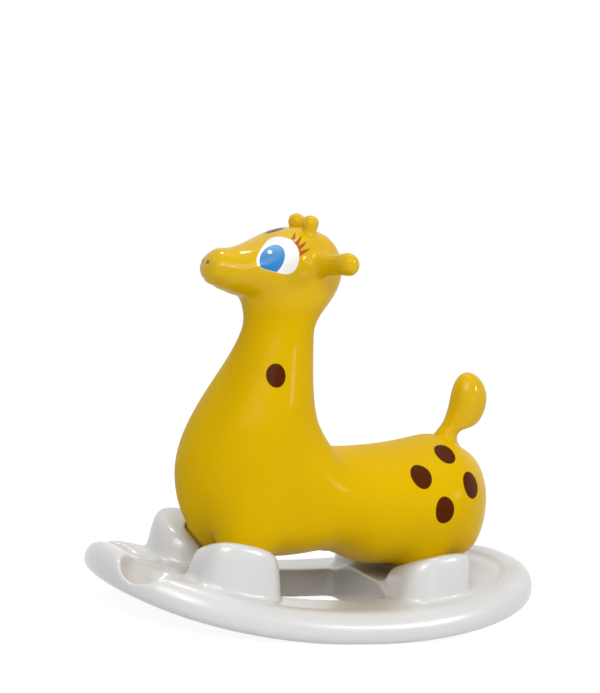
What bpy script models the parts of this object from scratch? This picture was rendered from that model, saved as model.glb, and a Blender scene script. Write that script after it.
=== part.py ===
"""An inflatable bouncing giraffe standing in the four leg cups of a moulded rocker base.

The giraffe faces -X, its left side is -Y and the floor is z = 0. Sizes are in metres.
The skin is one smooth hollow moulding on the real toy. It is built here as one cage of quads, smoothed,
and then divided into the zones that flex against each other: legs, belly band, torso, neck, head,
ears, horns and tail.
"""

import math
from collections import namedtuple

import bmesh
import bpy
import numpy as np
from mathutils import Vector
from mathutils.bvhtree import BVHTree

# Rocker base
BASE_LENGTH = 0.720
BASE_WIDTH = 0.380
BASE_SQUARENESS = 2.77
RIM_HEIGHT = 0.045
RIM_WIDTH = 0.048
CREST_INSET = 0.031
ROCKER_RADIUS = 1.205
CREST_RADIUS = 1.030
REST_FLAT_DEPTH = 0.0005
HEEL_ROUNDING = 0.012
WIDEST_SHARE = 0.22
DECK_DROP = 0.0045
DECK_STEP = 0.005
DECK_LEVEL_LENGTH = 0.24
BRIDGE_HEIGHT = 0.0645
BRIDGE_OVERHANG = 0.010
WINDOW_FRONT_X = -0.097
WINDOW_REAR_X = 0.084
WINDOW_WIDTH = 0.186
WINDOW_CORNER = 0.014

# Leg cups
CUP_FRONT_PEAK = 0.1465
CUP_REAR_PEAK = 0.1365
CUP_WINDOW_DROP = 0.024
CUP_INNER_DROP = 0.042
CUP_FRONT_LENGTH = 0.140
CUP_REAR_LENGTH = 0.132
CUP_RIM_LAP = 0.001
CUP_OUTER_Y = BASE_WIDTH / 2 - RIM_WIDTH + CUP_RIM_LAP
CUP_INNER_Y = 0.026
CUP_FRONT_SHIFT = -0.015
CUP_REAR_SHIFT = 0.001
CUP_SQUARENESS = 3.0
CUP_FOOT = 0.040
CUP_CLEARANCE = 0.0018
SEAT_GAP = 0.0003

# Foot scoops in the front of the rim
SCOOP_FRONT_INSET = 0.0665
SCOOP_X = SCOOP_FRONT_INSET - BASE_LENGTH / 2
SCOOP_SIDE_INSET = 0.121
SCOOP_Y = BASE_WIDTH / 2 - SCOOP_SIDE_INSET
SCOOP_LENGTH = 0.086
SCOOP_WIDTH = 0.112
SCOOP_DEPTH = 0.037
SCOOP_TURN = 55.0

# Legs
LEG_FRONT_X = -0.158
LEG_REAR_X = 0.152
LEG_Y = 0.0655
LEG_RADIUS = 0.0315
LEG_TOP_HEIGHT = 0.078
LEG_ROOT_RADIUS = 0.0425
FOOT_RADIUS = 0.0283
FOOT_HEIGHT = 0.026

# Torso
BELLY_HEIGHT = 0.103
HAUNCH_UNDERSIDE = 0.082
CHEST_UNDERSIDE = 0.087
SEAT_HEIGHT = 0.262
RUMP_HEIGHT = 0.289
RUMP_X = 0.265
RUMP_FULLNESS = 2.8
HAUNCH_FULLNESS = 2.3
HAUNCH_WIDTH = 0.242
WAIST_WIDTH = 0.204
CHEST_WIDTH = 0.192
CHEST_X = -0.243
UNDERSIDE_CORNER = 2.6
SHOULDER_FLARE = 0.55
LEG_SPREAD = (0.0, -4.5, 3.0, 12.5, 0.0)

# Neck and head
NECK_WIDTH = 0.105
NECK_BACK_X = -0.053
NECK_THROAT_X = -0.162
THROAT_HEIGHT = 0.473
HEAD_WIDTH = 0.122
HEAD_TOP = 0.591
HEAD_BACK_X = -0.018
MUZZLE_X = -0.240
MUZZLE_HEIGHT = 0.517
MUZZLE_WIDTH = 0.062
CHIN_HEIGHT = 0.484

# Ears, horns and tail
EAR_LENGTH = 0.078
EAR_WIDTH = 0.030
EAR_SWEEP = 11.0
EAR_RISE = 7.0
EAR_RING_TURN = 16.0
HORN_BALL = 0.0255
HORN_STEM = 0.0205
HORN_HEIGHT = 0.026
TAIL_X = 0.208
TAIL_HEIGHT = 0.101
TAIL_DEPTH = 0.059
TAIL_WIDTH = 0.050
TAIL_ROOT = 0.036
TAIL_LEAN = 0.030

# Zones of the skin
LEG_ZONE_TOP = 0.080
BAND_TOP = 0.155
NECK_PLANE_BACK = (-0.046, 0.370)
NECK_PLANE_FRONT = (-0.239, 0.270)
HEAD_PLANE_BACK = (-0.036, 0.466)
HEAD_PLANE_FRONT = (-0.170, 0.455)
TAIL_PLANE_TILT = 18.0
TAIL_PLANE_RISE = 0.008
EAR_PLANE_OUT = 0.0035
HORN_PLANE_RISE = 0.005
ZONE_GAP = 0.0003
SKIN_LEVELS = 1

# Valve in the belly
VALVE_X = 0.012
PLUG_HEAD = 0.019
PLUG_HEAD_THICKNESS = 0.0026
PLUG_STEM = 0.0084
PLUG_LENGTH = 0.018
PLUG_BARB = 0.0008
VALVE_CLEARANCE = 0.0005
VALVE_RECESS = 0.0022

# Mesh detail
RING = 16
LIMB_RING = 8
TUBE_STEPS = 4
RAY_START = 0.15
CAP_SPREAD = 0.55
CAP_BULGE = 0.82
FIT_ROUNDS = 3
ROOT_ROUNDS = 3
OUTLINE_POINTS = 96
CUP_POINTS = 32
ROUND_POINTS = 24
CORNER_STEPS = 5

BELOW = 0.05
ABOVE = 0.40
CUTTER_TOP = 0.175

Section = namedtuple("Section", "back belly half_width corner flare", defaults=(2.0, 0.0))
LimbRing = namedtuple("LimbRing", "centre first second")


def clear_scene():
    for thing in list(bpy.data.objects):
        bpy.data.objects.remove(thing, do_unlink=True)


def make_material(name, colour, roughness):
    material = bpy.data.materials.new(name)
    material.use_nodes = True
    shader = material.node_tree.nodes["Principled BSDF"]
    shader.inputs["Base Color"].default_value = (*colour, 1.0)
    shader.inputs["Roughness"].default_value = roughness
    shader.inputs["Metallic"].default_value = 0.0
    return material


def object_from(bm, name, material=None):
    """A new object from a bmesh. Without a material it is a guide or a cutter, and stays hidden."""
    bmesh.ops.recalc_face_normals(bm, faces=bm.faces[:])
    mesh = bpy.data.meshes.new(name)
    bm.to_mesh(mesh)
    bm.free()
    thing = bpy.data.objects.new(name, mesh)
    bpy.context.scene.collection.objects.link(thing)
    if material is None:
        thing.hide_render = True
        thing.display_type = "WIRE"
    else:
        mesh.materials.append(material)
        mesh.shade_smooth()
        mesh.set_sharp_from_angle(angle=math.radians(50))
    return thing


def boolean(thing, other, operation):
    modifier = thing.modifiers.new(other.name, "BOOLEAN")
    modifier.operation = operation
    modifier.solver = "EXACT"
    modifier.object = other


def close_between(bm, lower, upper):
    """Quads between two rings that hold the same number of points."""
    count = len(lower)
    for i in range(count):
        j = (i + 1) % count
        bm.faces.new((lower[i], lower[j], upper[j], upper[i]))


def loft(bm, rings):
    """A closed skin through rings of points, with one face on the first and one on the last."""
    made = [[bm.verts.new(point) for point in ring] for ring in rings]
    for lower, upper in zip(made, made[1:]):
        close_between(bm, lower, upper)
    bm.faces.new(made[0])
    bm.faces.new(made[-1])


def superellipse(half_length, half_width, power, count):
    """Points anticlockwise from +X, spaced so that straight sides keep few points."""
    points = []
    for i in range(count):
        angle = 2 * math.pi * i / count
        c, s = math.cos(angle), math.sin(angle)
        reach = (abs(c) ** power + abs(s) ** power) ** (-1 / power)
        points.append((half_length * c * reach, half_width * s * reach))
    return points


def torso_sections():
    """Upright sections from the rump forward to the waist."""
    haunch = HAUNCH_WIDTH / 2
    waist = WAIST_WIDTH / 2
    middle = (RUMP_HEIGHT + HAUNCH_UNDERSIDE) / 2
    half_height = (RUMP_HEIGHT - HAUNCH_UNDERSIDE) / 2
    power = RUMP_FULLNESS
    low_power = HAUNCH_FULLNESS
    sections = []
    for along in (0.95, 0.82, 0.60, 0.30):
        x = LEG_REAR_X + along * (RUMP_X - LEG_REAR_X)
        rise = half_height * (1 - along**power) ** (1 / power)
        fall = half_height * (1 - along**low_power) ** (1 / low_power)
        width = haunch * (1 - along ** (power - 0.4)) ** (1 / (power - 0.4))
        sections.append(Section((x, middle + rise), (x, middle - fall), width, UNDERSIDE_CORNER))
    dip = RUMP_HEIGHT - SEAT_HEIGHT
    arch = BELLY_HEIGHT - HAUNCH_UNDERSIDE
    # Each row: share of the way from the rear leg to the middle, height over the seat,
    # share of the belly's arch, and share of the narrowing to the waist.
    for share, height, lift, narrowing in (
        (0.00, 0.65, 0.00, 0.00),
        (0.32, 0.28, 0.00, 0.17),
        (0.64, 0.06, 0.25, 0.60),
        (0.97, 0.00, 0.97, 1.00),
    ):
        x = LEG_REAR_X * (1 - share)
        top = (x, SEAT_HEIGHT + height * dip)
        bottom = (x, HAUNCH_UNDERSIDE + lift * arch)
        corner = UNDERSIDE_CORNER + (2 - UNDERSIDE_CORNER) * share
        sections.append(Section(top, bottom, haunch + (waist - haunch) * narrowing, corner))
    return sections


def chest_sections():
    """Sections that fan round the withers, from the belly up the chest to the middle of the neck."""
    back = NECK_BACK_X
    seat = SEAT_HEIGHT
    low = CHEST_UNDERSIDE
    throat = NECK_THROAT_X
    neck = NECK_WIDTH / 2
    spread = CHEST_WIDTH / 2 - neck
    sections = []
    # Each row: the back's distance behind the neck and over the seat, the belly's place,
    # the share of the chest's extra width, and the share of the flare over the front legs.
    for behind, over, belly, extra, flare in (
        (0.035, 0.018, (LEG_FRONT_X + 0.108, 0.6 * BELLY_HEIGHT + 0.4 * low), 1.08, 0.25),
        (0.017, 0.046, (LEG_FRONT_X + 0.044, low), 1.04, 0.75),
        (0.008, 0.077, (LEG_FRONT_X - 0.015, low + 0.004), 1.00, 1.00),
        (0.004, 0.104, (CHEST_X + 0.019, low + 0.054), 0.98, 0.60),
        (0.002, 0.128, (CHEST_X + 0.001, low + 0.110), 0.85, 0.00),
        (0.001, 0.150, (CHEST_X + 0.006, low + 0.174), 0.58, 0.00),
        (0.000, 0.170, (CHEST_X + 0.034, low + 0.240), 0.30, 0.00),
        (0.001, 0.188, (throat - 0.017, low + 0.298), 0.08, 0.00),
    ):
        corner = 2 + (UNDERSIDE_CORNER - 2) * min(1.0, 1.3 * flare)
        top = (back + behind, seat + over)
        sections.append(Section(top, belly, neck + extra * spread, corner, SHOULDER_FLARE * flare))
    return sections


def head_sections():
    """Sections that fan round the throat, from the neck over the crown and out to the muzzle."""
    nape = HEAD_BACK_X
    top = HEAD_TOP
    throat = NECK_THROAT_X
    jaw = CHIN_HEIGHT
    neck = NECK_WIDTH / 2
    head = HEAD_WIDTH / 2
    muzzle = MUZZLE_WIDTH / 2
    brow = HEAD_TOP - MUZZLE_HEIGHT
    return [
        Section((NECK_BACK_X + 0.011, THROAT_HEIGHT - 0.002), (throat, THROAT_HEIGHT - 0.040), neck),
        Section((nape - 0.009, THROAT_HEIGHT + 0.022), (throat - 0.004, THROAT_HEIGHT - 0.014), (neck + head) / 2),
        Section((nape, top - 0.067), (throat - 0.012, THROAT_HEIGHT + 0.003), head - 0.0015),
        Section((nape - 0.008, top - 0.032), (throat - 0.021, jaw - 0.004), head),
        Section((nape - 0.033, top - 0.008), (throat - 0.029, jaw - 0.003), head),
        Section((nape - 0.059, top - 0.0005), (throat - 0.036, jaw - 0.001), head - 0.001),
        Section((nape - 0.084, top - 0.001), (throat - 0.042, jaw + 0.001), head - 0.003),
        Section((nape - 0.112, top - 0.007), (throat - 0.049, jaw + 0.003), head - 0.008),
        Section((nape - 0.140, top - 0.022), (throat - 0.056, jaw + 0.006), muzzle + 0.015),
        Section((MUZZLE_X + 0.045, MUZZLE_HEIGHT + 0.47 * brow), (MUZZLE_X + 0.020, jaw + 0.009), muzzle + 0.006),
        Section((MUZZLE_X + 0.022, MUZZLE_HEIGHT + 0.42 * brow), (MUZZLE_X + 0.010, jaw + 0.012), muzzle),
        Section((MUZZLE_X + 0.007, MUZZLE_HEIGHT + 0.27 * brow), (MUZZLE_X + 0.004, jaw + 0.018), 0.74 * muzzle),
    ]


def section_point(section, k):
    """Point k of a section's ring: 0 is the back, RING / 4 the left side and RING / 2 the belly or throat.

    Below the sides the corner, over 2, squares the outline, and the flare widens it.
    """
    half = min(k % RING, RING - k % RING)
    turn = 360 / RING * half
    if section.corner > 2:
        shift = np.interp(half, range(RING // 4, RING // 2 + 1), LEG_SPREAD)
        turn += shift * (section.corner - 2) / (UNDERSIDE_CORNER - 2)
    angle = math.radians(turn)
    c, s = math.cos(angle), math.sin(angle)
    if half < k % RING:
        s = -s
    if c < 0:
        power = 2 / section.corner
        wide = 1 - section.flare * c
        c, s = -(abs(c) ** power), math.copysign(abs(s) ** power, s) * wide
    back = Vector((section.back[0], 0.0, section.back[1]))
    belly = Vector((section.belly[0], 0.0, section.belly[1]))
    side = Vector((0.0, -section.half_width, 0.0))
    return (back + belly) / 2 + (back - belly) / 2 * c + side * s


def between(first, second, share):
    """The section that lies a share of the way from one section to the next."""
    def mix(a, b):
        return a + (b - a) * share
    return Section(
        tuple(map(mix, first.back, second.back)),
        tuple(map(mix, first.belly, second.belly)),
        mix(first.half_width, second.half_width),
        mix(first.corner, second.corner),
        mix(first.flare, second.flare),
    )


def tube_tree(sections):
    """The tube through the sections as a finer surface that rays can be sent at."""
    rows = []
    for first, second in zip(sections, sections[1:]):
        rows += [between(first, second, step / TUBE_STEPS) for step in range(TUBE_STEPS)]
    rows.append(sections[-1])
    count = RING * TUBE_STEPS
    points = [section_point(row, k / TUBE_STEPS) for row in rows for k in range(count)]
    cells = []
    for j in range(len(rows) - 1):
        for k in range(count):
            m = (k + 1) % count
            cells.append((j * count + k, j * count + m, (j + 1) * count + m, (j + 1) * count + k))
    return BVHTree.FromPolygons(points, cells)


class Patch:
    """Four neighbouring cells of the tube that a limb grows from.

    It runs over sections first to first + 2, and over the ring points near, near + step and near + 2 * step.
    """

    def __init__(self, first, near, step):
        self.sections = (first, first + 1, first + 2)
        self.points = tuple((near + n * step) % RING for n in range(3))
        self.low_points = self.points[:2] if step > 0 else self.points[1:]

    def cells(self):
        return {(j, k) for j in self.sections[:2] for k in self.low_points}

    def edge(self, rings):
        """The eight points round the patch, from its first corner."""
        a, b, c = (rings[j] for j in self.sections)
        near, middle, far = self.points
        return [a[near], a[middle], a[far], b[far], c[far], c[middle], c[near], b[near]]

    def centre(self, rings):
        return rings[self.sections[1]][self.points[1]]


class Cage:
    """A cage of quads whose smoothed surface is fitted through the points that it is given."""

    def __init__(self, sections, patches):
        self.bm = bmesh.new()
        self.loose = set()
        self.tube = tube_tree(sections)
        self.rings = [[self.bm.verts.new(section_point(section, k)) for k in range(RING)] for section in sections]
        open_cells = set().union(*(patch.cells() for patch in patches))
        for j, (lower, upper) in enumerate(zip(self.rings, self.rings[1:])):
            for k in range(RING):
                if (j, k) not in open_cells:
                    m = (k + 1) % RING
                    self.bm.faces.new((lower[k], lower[m], upper[m], upper[k]))

    def cap(self, ring, pole):
        """Closes a ring with a grid of quads, which leaves no fan of triangles at the end."""
        centre = sum((vertex.co for vertex in ring), Vector()) / RING
        inner = []
        for k in range(0, RING, 2):
            place = centre + (ring[k].co - centre) * CAP_SPREAD + (pole - centre) * CAP_BULGE
            inner.append(self.bm.verts.new(place))
        middle = self.bm.verts.new(pole)
        count = len(inner)
        for m in range(0, count, 2):
            k = 2 * m
            self.bm.faces.new((ring[k - 1], ring[k], inner[m], inner[m - 1]))
            self.bm.faces.new((ring[k], ring[k + 1], inner[m + 1], inner[m]))
            self.bm.faces.new((ring[k + 1], ring[k + 2], ring[k + 3], inner[m + 1]))
            self.bm.faces.new((inner[m], inner[m + 1], inner[(m + 2) % count], middle))

    def limb(self, patch, limb_rings, tip, even_root):
        """Grows a limb from the edge of a patch. Its first ring is laid on the tube, and four quads close its end."""
        self.bm.verts.remove(patch.centre(self.rings))
        edge = patch.edge(self.rings)
        inward = (limb_rings[0].centre - limb_rings[1].centre).normalized()
        for n, ring in enumerate(limb_rings):
            made = []
            for i in range(LIMB_RING):
                angle = math.pi / 4 - 2 * math.pi * i / LIMB_RING
                place = ring.centre + ring.first * math.cos(angle) + ring.second * math.sin(angle)
                if n == 0:
                    place = self.tube.ray_cast(place - inward * RAY_START, inward)[0] or place
                made.append(self.bm.verts.new(place))
            close_between(self.bm, edge, made)
            if n == 0 and even_root:
                self.loose.update(edge, made)
            edge = made
        middle = self.bm.verts.new(tip)
        for i in range(0, LIMB_RING, 2):
            self.bm.faces.new((edge[i - 1], edge[i], edge[i + 1], middle))

    def fit(self):
        """Evens out the roots of legs and ears, and moves the cage until its smoothed surface meets its points."""
        vertices = list(self.bm.verts)
        loose = [vertex for vertex in vertices if vertex in self.loose]
        for _ in range(ROOT_ROUNDS):
            bmesh.ops.smooth_vert(self.bm, verts=loose, factor=0.5, use_axis_x=True, use_axis_y=True, use_axis_z=True)
        self.bm.verts.index_update()
        goal = np.array([vertex.co for vertex in vertices])
        weights = np.zeros((len(vertices), len(vertices)))
        for vertex in vertices:
            n = len(vertex.link_edges)
            row = weights[vertex.index]
            row[vertex.index] = n * n
            for edge in vertex.link_edges:
                row[edge.other_vert(vertex).index] += 4
            for face in vertex.link_faces:
                corners = list(face.verts)
                row[corners[(corners.index(vertex) + 2) % 4].index] += 1
            row /= n * (n + 5)
        place = goal.copy()
        for _ in range(FIT_ROUNDS):
            place += goal - weights @ place
        for vertex, point in zip(vertices, place):
            vertex.co = point


REAR_LEG_SECTION = 3
FRONT_LEG_SECTION = 9
TAIL_SECTION = 1
EAR_SECTION = 18
HORN_SECTION = 20


def leg_rings(x, side):
    """Rings down one leg, which narrows all the way so that it lifts out of its cup, and its sole."""
    first = Vector((1.0, 0.0, 0.0))
    second = Vector((0.0, side, 0.0))
    drop = LEG_TOP_HEIGHT - FOOT_HEIGHT
    rings = []
    middle = (LEG_RADIUS + FOOT_RADIUS) / 2
    # Each row: share of the drop and the radius. The first ring is laid on the body.
    for share, radius in (
        (-0.50, LEG_ROOT_RADIUS),
        (0.00, LEG_RADIUS),
        (0.45, middle),
        (0.85, FOOT_RADIUS),
        (0.985, FOOT_RADIUS - 0.002),
    ):
        centre = Vector((x, side * LEG_Y, LEG_TOP_HEIGHT - share * drop))
        rings.append(LimbRing(centre, first * radius, second * radius))
    return rings, Vector((x, side * LEG_Y, FOOT_HEIGHT))


def ear_rings(side):
    """Rings along one ear, which is also the hand grip, and its tip."""
    sweep = math.radians(EAR_SWEEP)
    axis = Vector((math.sin(sweep), side * math.cos(sweep), math.sin(math.radians(EAR_RISE)))).normalized()
    rear = Vector((1.0, 0.0, 0.0))
    rear = (rear - axis * rear.dot(axis)).normalized()
    down = Vector((0.0, 0.0, -1.0))
    down = (down - axis * down.dot(axis)).normalized()
    turn = math.radians(EAR_RING_TURN)
    first = down * math.cos(turn) + rear * math.sin(turn)
    second = rear * math.cos(turn) - down * math.sin(turn)
    root = Vector((HEAD_BACK_X - 0.057, side * (HEAD_WIDTH / 2 - 0.003), HEAD_TOP - 0.051))
    radius = EAR_WIDTH / 2
    rings = []
    # Each row: share of the length, half depth and half height in shares of the radius.
    for share, across, along in (
        (0.00, 1.20, 1.35),
        (0.09, 0.98, 1.14),
        (0.28, 0.84, 1.02),
        (0.55, 0.88, 1.02),
        (0.80, 1.00, 1.12),
        (0.95, 0.70, 0.80),
    ):
        rings.append(LimbRing(root + axis * EAR_LENGTH * share, first * radius * along, second * radius * across))
    return rings, root + axis * EAR_LENGTH


def horn_rings(side):
    """Rings up one horn: a short stem and a ball."""
    x = HEAD_BACK_X - 0.068
    y = side * 0.024
    foot = HEAD_TOP - 0.006
    ball = HORN_BALL / 2
    stem = HORN_STEM / 2
    middle = foot + HORN_HEIGHT - ball
    first = Vector((1.0, 0.0, 0.0))
    second = Vector((0.0, -side, 0.0))
    rings = []
    for height, radius in (
        (foot, stem * 1.30),
        (middle - 0.75 * ball, stem),
        (middle, ball),
        (middle + 0.66 * ball, ball * 0.75),
    ):
        rings.append(LimbRing(Vector((x, y, height)), first * radius, second * radius))
    return rings, Vector((x, y, middle + ball))


def tail_rings():
    """Rings up the tail: a pinched root and a fat upright knob that leans back."""
    first = Vector((1.0, 0.0, 0.0))
    second = Vector((0.0, 1.0, 0.0))
    depth = TAIL_DEPTH / 2
    width = TAIL_WIDTH / 2
    root = TAIL_ROOT / 2
    rings = []
    # Each row: share of the height, share of the lean, half depth and half width.
    for share, lean, deep, wide in (
        (0.00, 0.00, 1.20 * root, 1.20 * root),
        (0.08, 0.08, root, root),
        (0.18, 0.60, 0.90 * depth, 0.88 * width),
        (0.42, 0.95, 1.02 * depth, width),
        (0.68, 1.00, 0.98 * depth, 0.97 * width),
        (0.88, 0.92, 0.70 * depth, 0.70 * width),
        (0.97, 0.86, 0.36 * depth, 0.36 * width),
    ):
        centre = Vector((TAIL_X + TAIL_LEAN * lean, 0.0, RUMP_HEIGHT + TAIL_HEIGHT * share))
        rings.append(LimbRing(centre, first * deep, second * wide))
    return rings, Vector((TAIL_X + 0.84 * TAIL_LEAN, 0.0, RUMP_HEIGHT + TAIL_HEIGHT))


def build_skin():
    """The whole smoothed skin as one hidden object."""
    sections = torso_sections() + chest_sections() + head_sections()
    limbs = []
    for side, step in ((-1, 1), (1, -1)):
        limbs.append((Patch(REAR_LEG_SECTION, 5 * step, step), *leg_rings(LEG_REAR_X, side), True))
        limbs.append((Patch(FRONT_LEG_SECTION, 5 * step, step), *leg_rings(LEG_FRONT_X, side), True))
        limbs.append((Patch(EAR_SECTION, 2 * step, step), *ear_rings(side), True))
        limbs.append((Patch(HORN_SECTION, 0, step), *horn_rings(side), False))
    limbs.append((Patch(TAIL_SECTION, -1, 1), *tail_rings(), False))
    cage = Cage(sections, [limb[0] for limb in limbs])
    cage.cap(cage.rings[0], Vector((RUMP_X, 0.0, (RUMP_HEIGHT + HAUNCH_UNDERSIDE) / 2)))
    cage.cap(cage.rings[-1], Vector((MUZZLE_X, 0.0, MUZZLE_HEIGHT)))
    for limb in limbs:
        cage.limb(*limb)
    cage.fit()
    skin = object_from(cage.bm, "skin_cage")
    smooth = skin.modifiers.new("Smooth", "SUBSURF")
    smooth.levels = SKIN_LEVELS
    smooth.render_levels = SKIN_LEVELS
    return skin


def evaluated_mesh(thing):
    graph = bpy.context.evaluated_depsgraph_get()
    return bpy.data.meshes.new_from_object(thing.evaluated_get(graph))


def clip(bm, point, normal):
    """Keeps what lies on the normal's side of a plane, and closes the cut."""
    geometry = bm.verts[:] + bm.edges[:] + bm.faces[:]
    cut = bmesh.ops.bisect_plane(bm, geom=geometry, plane_co=point, plane_no=normal, clear_inner=True)
    edges = [item for item in cut["geom_cut"] if isinstance(item, bmesh.types.BMEdge)]
    bmesh.ops.edgeloop_fill(bm, edges=edges)


def plane_through(back, front):
    """A plane square to the side view through two points of it, as a point and a normal that points up."""
    along = Vector((back[0] - front[0], 0.0, back[1] - front[1]))
    return Vector((back[0], 0.0, back[1])), Vector((-along.z, 0.0, along.x)).normalized()


def add_zone(skin_mesh, name, planes, material):
    """The part of the skin above each plane (share 1) or below it (share -1), with half a gap left there."""
    bm = bmesh.new()
    bm.from_mesh(skin_mesh)
    for (point, normal), share in planes:
        kept = normal * share
        clip(bm, point + kept * ZONE_GAP / 2, kept)
    return object_from(bm, name, material)


def add_zones(skin_mesh, material):
    """One object for each zone of the skin that flexes against its neighbours."""
    up = Vector((0.0, 0.0, 1.0))
    left = Vector((0.0, -1.0, 0.0))
    front = Vector((-1.0, 0.0, 0.0))
    middle = Vector((0.0, 0.0, 0.0))
    leg_plane = (up * LEG_ZONE_TOP, up)
    band_plane = (up * BAND_TOP, up)
    neck_plane = plane_through(NECK_PLANE_BACK, NECK_PLANE_FRONT)
    head_plane = plane_through(HEAD_PLANE_BACK, HEAD_PLANE_FRONT)
    tilt = math.radians(TAIL_PLANE_TILT)
    tail_normal = Vector((math.sin(tilt), 0.0, math.cos(tilt)))
    tail_plane = (Vector((TAIL_X, 0.0, RUMP_HEIGHT + TAIL_PLANE_RISE)), tail_normal)
    horn_plane = (up * (HEAD_TOP + HORN_PLANE_RISE), up)
    ear_out = HEAD_WIDTH / 2 + EAR_PLANE_OUT
    sides = (("left", 1, left), ("right", -1, -left))
    for side, share, outward in sides:
        for end, way in (("front", 1), ("rear", -1)):
            planes = ((leg_plane, -1), ((middle, left), share), ((middle, front), way))
            add_zone(skin_mesh, f"leg_{end}_{side}", planes, material)
        planes = ((head_plane, 1), ((outward * ear_out, outward), 1))
        add_zone(skin_mesh, f"ear_{side}", planes, material)
        planes = ((horn_plane, 1), ((middle, left), share))
        add_zone(skin_mesh, f"horn_{side}", planes, material)
    add_zone(skin_mesh, "torso", ((band_plane, 1), (tail_plane, -1), (neck_plane, -1)), material)
    add_zone(skin_mesh, "tail", ((tail_plane, 1), (neck_plane, -1)), material)
    add_zone(skin_mesh, "neck", ((neck_plane, 1), (head_plane, -1)), material)
    head_planes = [(head_plane, 1), (horn_plane, -1)]
    head_planes += [((outward * ear_out, outward), -1) for _, _, outward in sides]
    add_zone(skin_mesh, "head", head_planes, material)
    return add_zone(skin_mesh, "belly_band", ((leg_plane, 1), (band_plane, -1)), material)


def leg_cutter(skin_mesh):
    """The lower part of the skin grown by the clearance of the cups."""
    bm = bmesh.new()
    bm.from_mesh(skin_mesh)
    bmesh.ops.recalc_face_normals(bm, faces=bm.faces[:])
    bm.normal_update()
    for vertex in bm.verts:
        flat = Vector((vertex.normal.x, vertex.normal.y, 0.0)) * CUP_CLEARANCE
        vertex.co += flat + Vector((0.0, 0.0, vertex.normal.z * SEAT_GAP))
    clip(bm, Vector((0.0, 0.0, CUTTER_TOP)), Vector((0.0, 0.0, -1.0)))
    return object_from(bm, "leg_cutter")


def under_height(x):
    return ROCKER_RADIUS - math.sqrt(ROCKER_RADIUS**2 - x**2) - REST_FLAT_DEPTH


def crest_height(x):
    return RIM_HEIGHT + CREST_RADIUS - math.sqrt(CREST_RADIUS**2 - x**2)


def deck_drop(x):
    """The deck is level with the crest beside the window, and sunk at both ends of the base."""
    return DECK_DROP * min(1.0, abs(x) / DECK_LEVEL_LENGTH) ** 3


def base_ring(inset, share, sunk=0.0, scale=1.0):
    """A closed outline of the base, at a share of the way up from the rockers to the rim's crest."""
    length = (BASE_LENGTH / 2 - inset) * scale
    width = (BASE_WIDTH / 2 - inset) * scale
    ring = []
    for x, y in superellipse(length, width, BASE_SQUARENESS, OUTLINE_POINTS):
        low = max(0.0, under_height(x))
        ring.append((x, y, low + (crest_height(x) - low) * share - sunk * deck_drop(x)))
    return ring


def add_block(name, front, rear, half_width, low, high):
    bm = bmesh.new()
    bmesh.ops.create_cube(bm, size=1.0)
    for vertex in bm.verts:
        x, y, z = vertex.co
        vertex.co = (front + (rear - front) * (x + 0.5), 2 * half_width * y, low + (high - low) * (z + 0.5))
    return object_from(bm, name)


def add_cup(name, centre_x, length, side, window_way, peak):
    """A raised cup for one leg. Its top slopes down to the window and to the middle of the base."""
    half_length = length / 2
    half_width = (CUP_OUTER_Y - CUP_INNER_Y) / 2
    centre_y = (CUP_OUTER_Y + CUP_INNER_Y) / 2
    outline = superellipse(half_length, half_width, CUP_SQUARENESS, CUP_POINTS)
    rings = []
    for scale, share in (
        (1.00, 0.0),
        (0.985, 0.15),
        (0.925, 0.50),
        (0.88, 0.73),
        (0.84, 0.85),
        (0.79, 0.93),
        (0.72, 0.975),
        (0.62, 0.995),
        (0.48, 1.0),
        (0.25, 1.0),
    ):
        ring = []
        for x, y in outline:
            x, y = x * scale, y * scale
            to_window = (x * window_way / half_length + 1) / 2
            to_middle = (1 - y / half_width) / 2
            top = peak - CUP_WINDOW_DROP * to_window**2 - CUP_INNER_DROP * to_middle
            ring.append((centre_x + x, side * (centre_y + y), CUP_FOOT + (top - CUP_FOOT) * share))
        rings.append(ring)
    bm = bmesh.new()
    loft(bm, rings)
    return object_from(bm, name)


def add_window():
    half_length = (WINDOW_REAR_X - WINDOW_FRONT_X) / 2
    centre_x = (WINDOW_REAR_X + WINDOW_FRONT_X) / 2
    half_width = WINDOW_WIDTH / 2
    outline = []
    for corner in range(4):
        start = math.pi / 2 * corner
        way_x = 1 if corner in (0, 3) else -1
        way_y = 1 if corner in (0, 1) else -1
        for step in range(CORNER_STEPS):
            angle = start + math.pi / 2 * step / (CORNER_STEPS - 1)
            x = way_x * (half_length - WINDOW_CORNER) + WINDOW_CORNER * math.cos(angle)
            y = way_y * (half_width - WINDOW_CORNER) + WINDOW_CORNER * math.sin(angle)
            outline.append((centre_x + x, y))
    bm = bmesh.new()
    loft(bm, [[(x, y, z) for x, y in outline] for z in (-BELOW, ABOVE)])
    return object_from(bm, "window_cutter")


def add_scoop(side):
    """A long shallow hollow across the front of the rim, for the rider's foot."""
    bm = bmesh.new()
    bmesh.ops.create_uvsphere(bm, u_segments=ROUND_POINTS, v_segments=ROUND_POINTS // 2, radius=1.0)
    turn = math.radians(SCOOP_TURN) * side
    crest = crest_height(SCOOP_X)
    for vertex in bm.verts:
        x, y, z = vertex.co
        x, y, z = x * SCOOP_LENGTH / 2, y * SCOOP_WIDTH / 2, z * SCOOP_DEPTH
        across = x * math.cos(turn) - y * math.sin(turn)
        along = x * math.sin(turn) + y * math.cos(turn)
        vertex.co = (SCOOP_X + across, side * SCOOP_Y + along, crest + z)
    return object_from(bm, "scoop_left" if side < 0 else "scoop_right")


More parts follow.
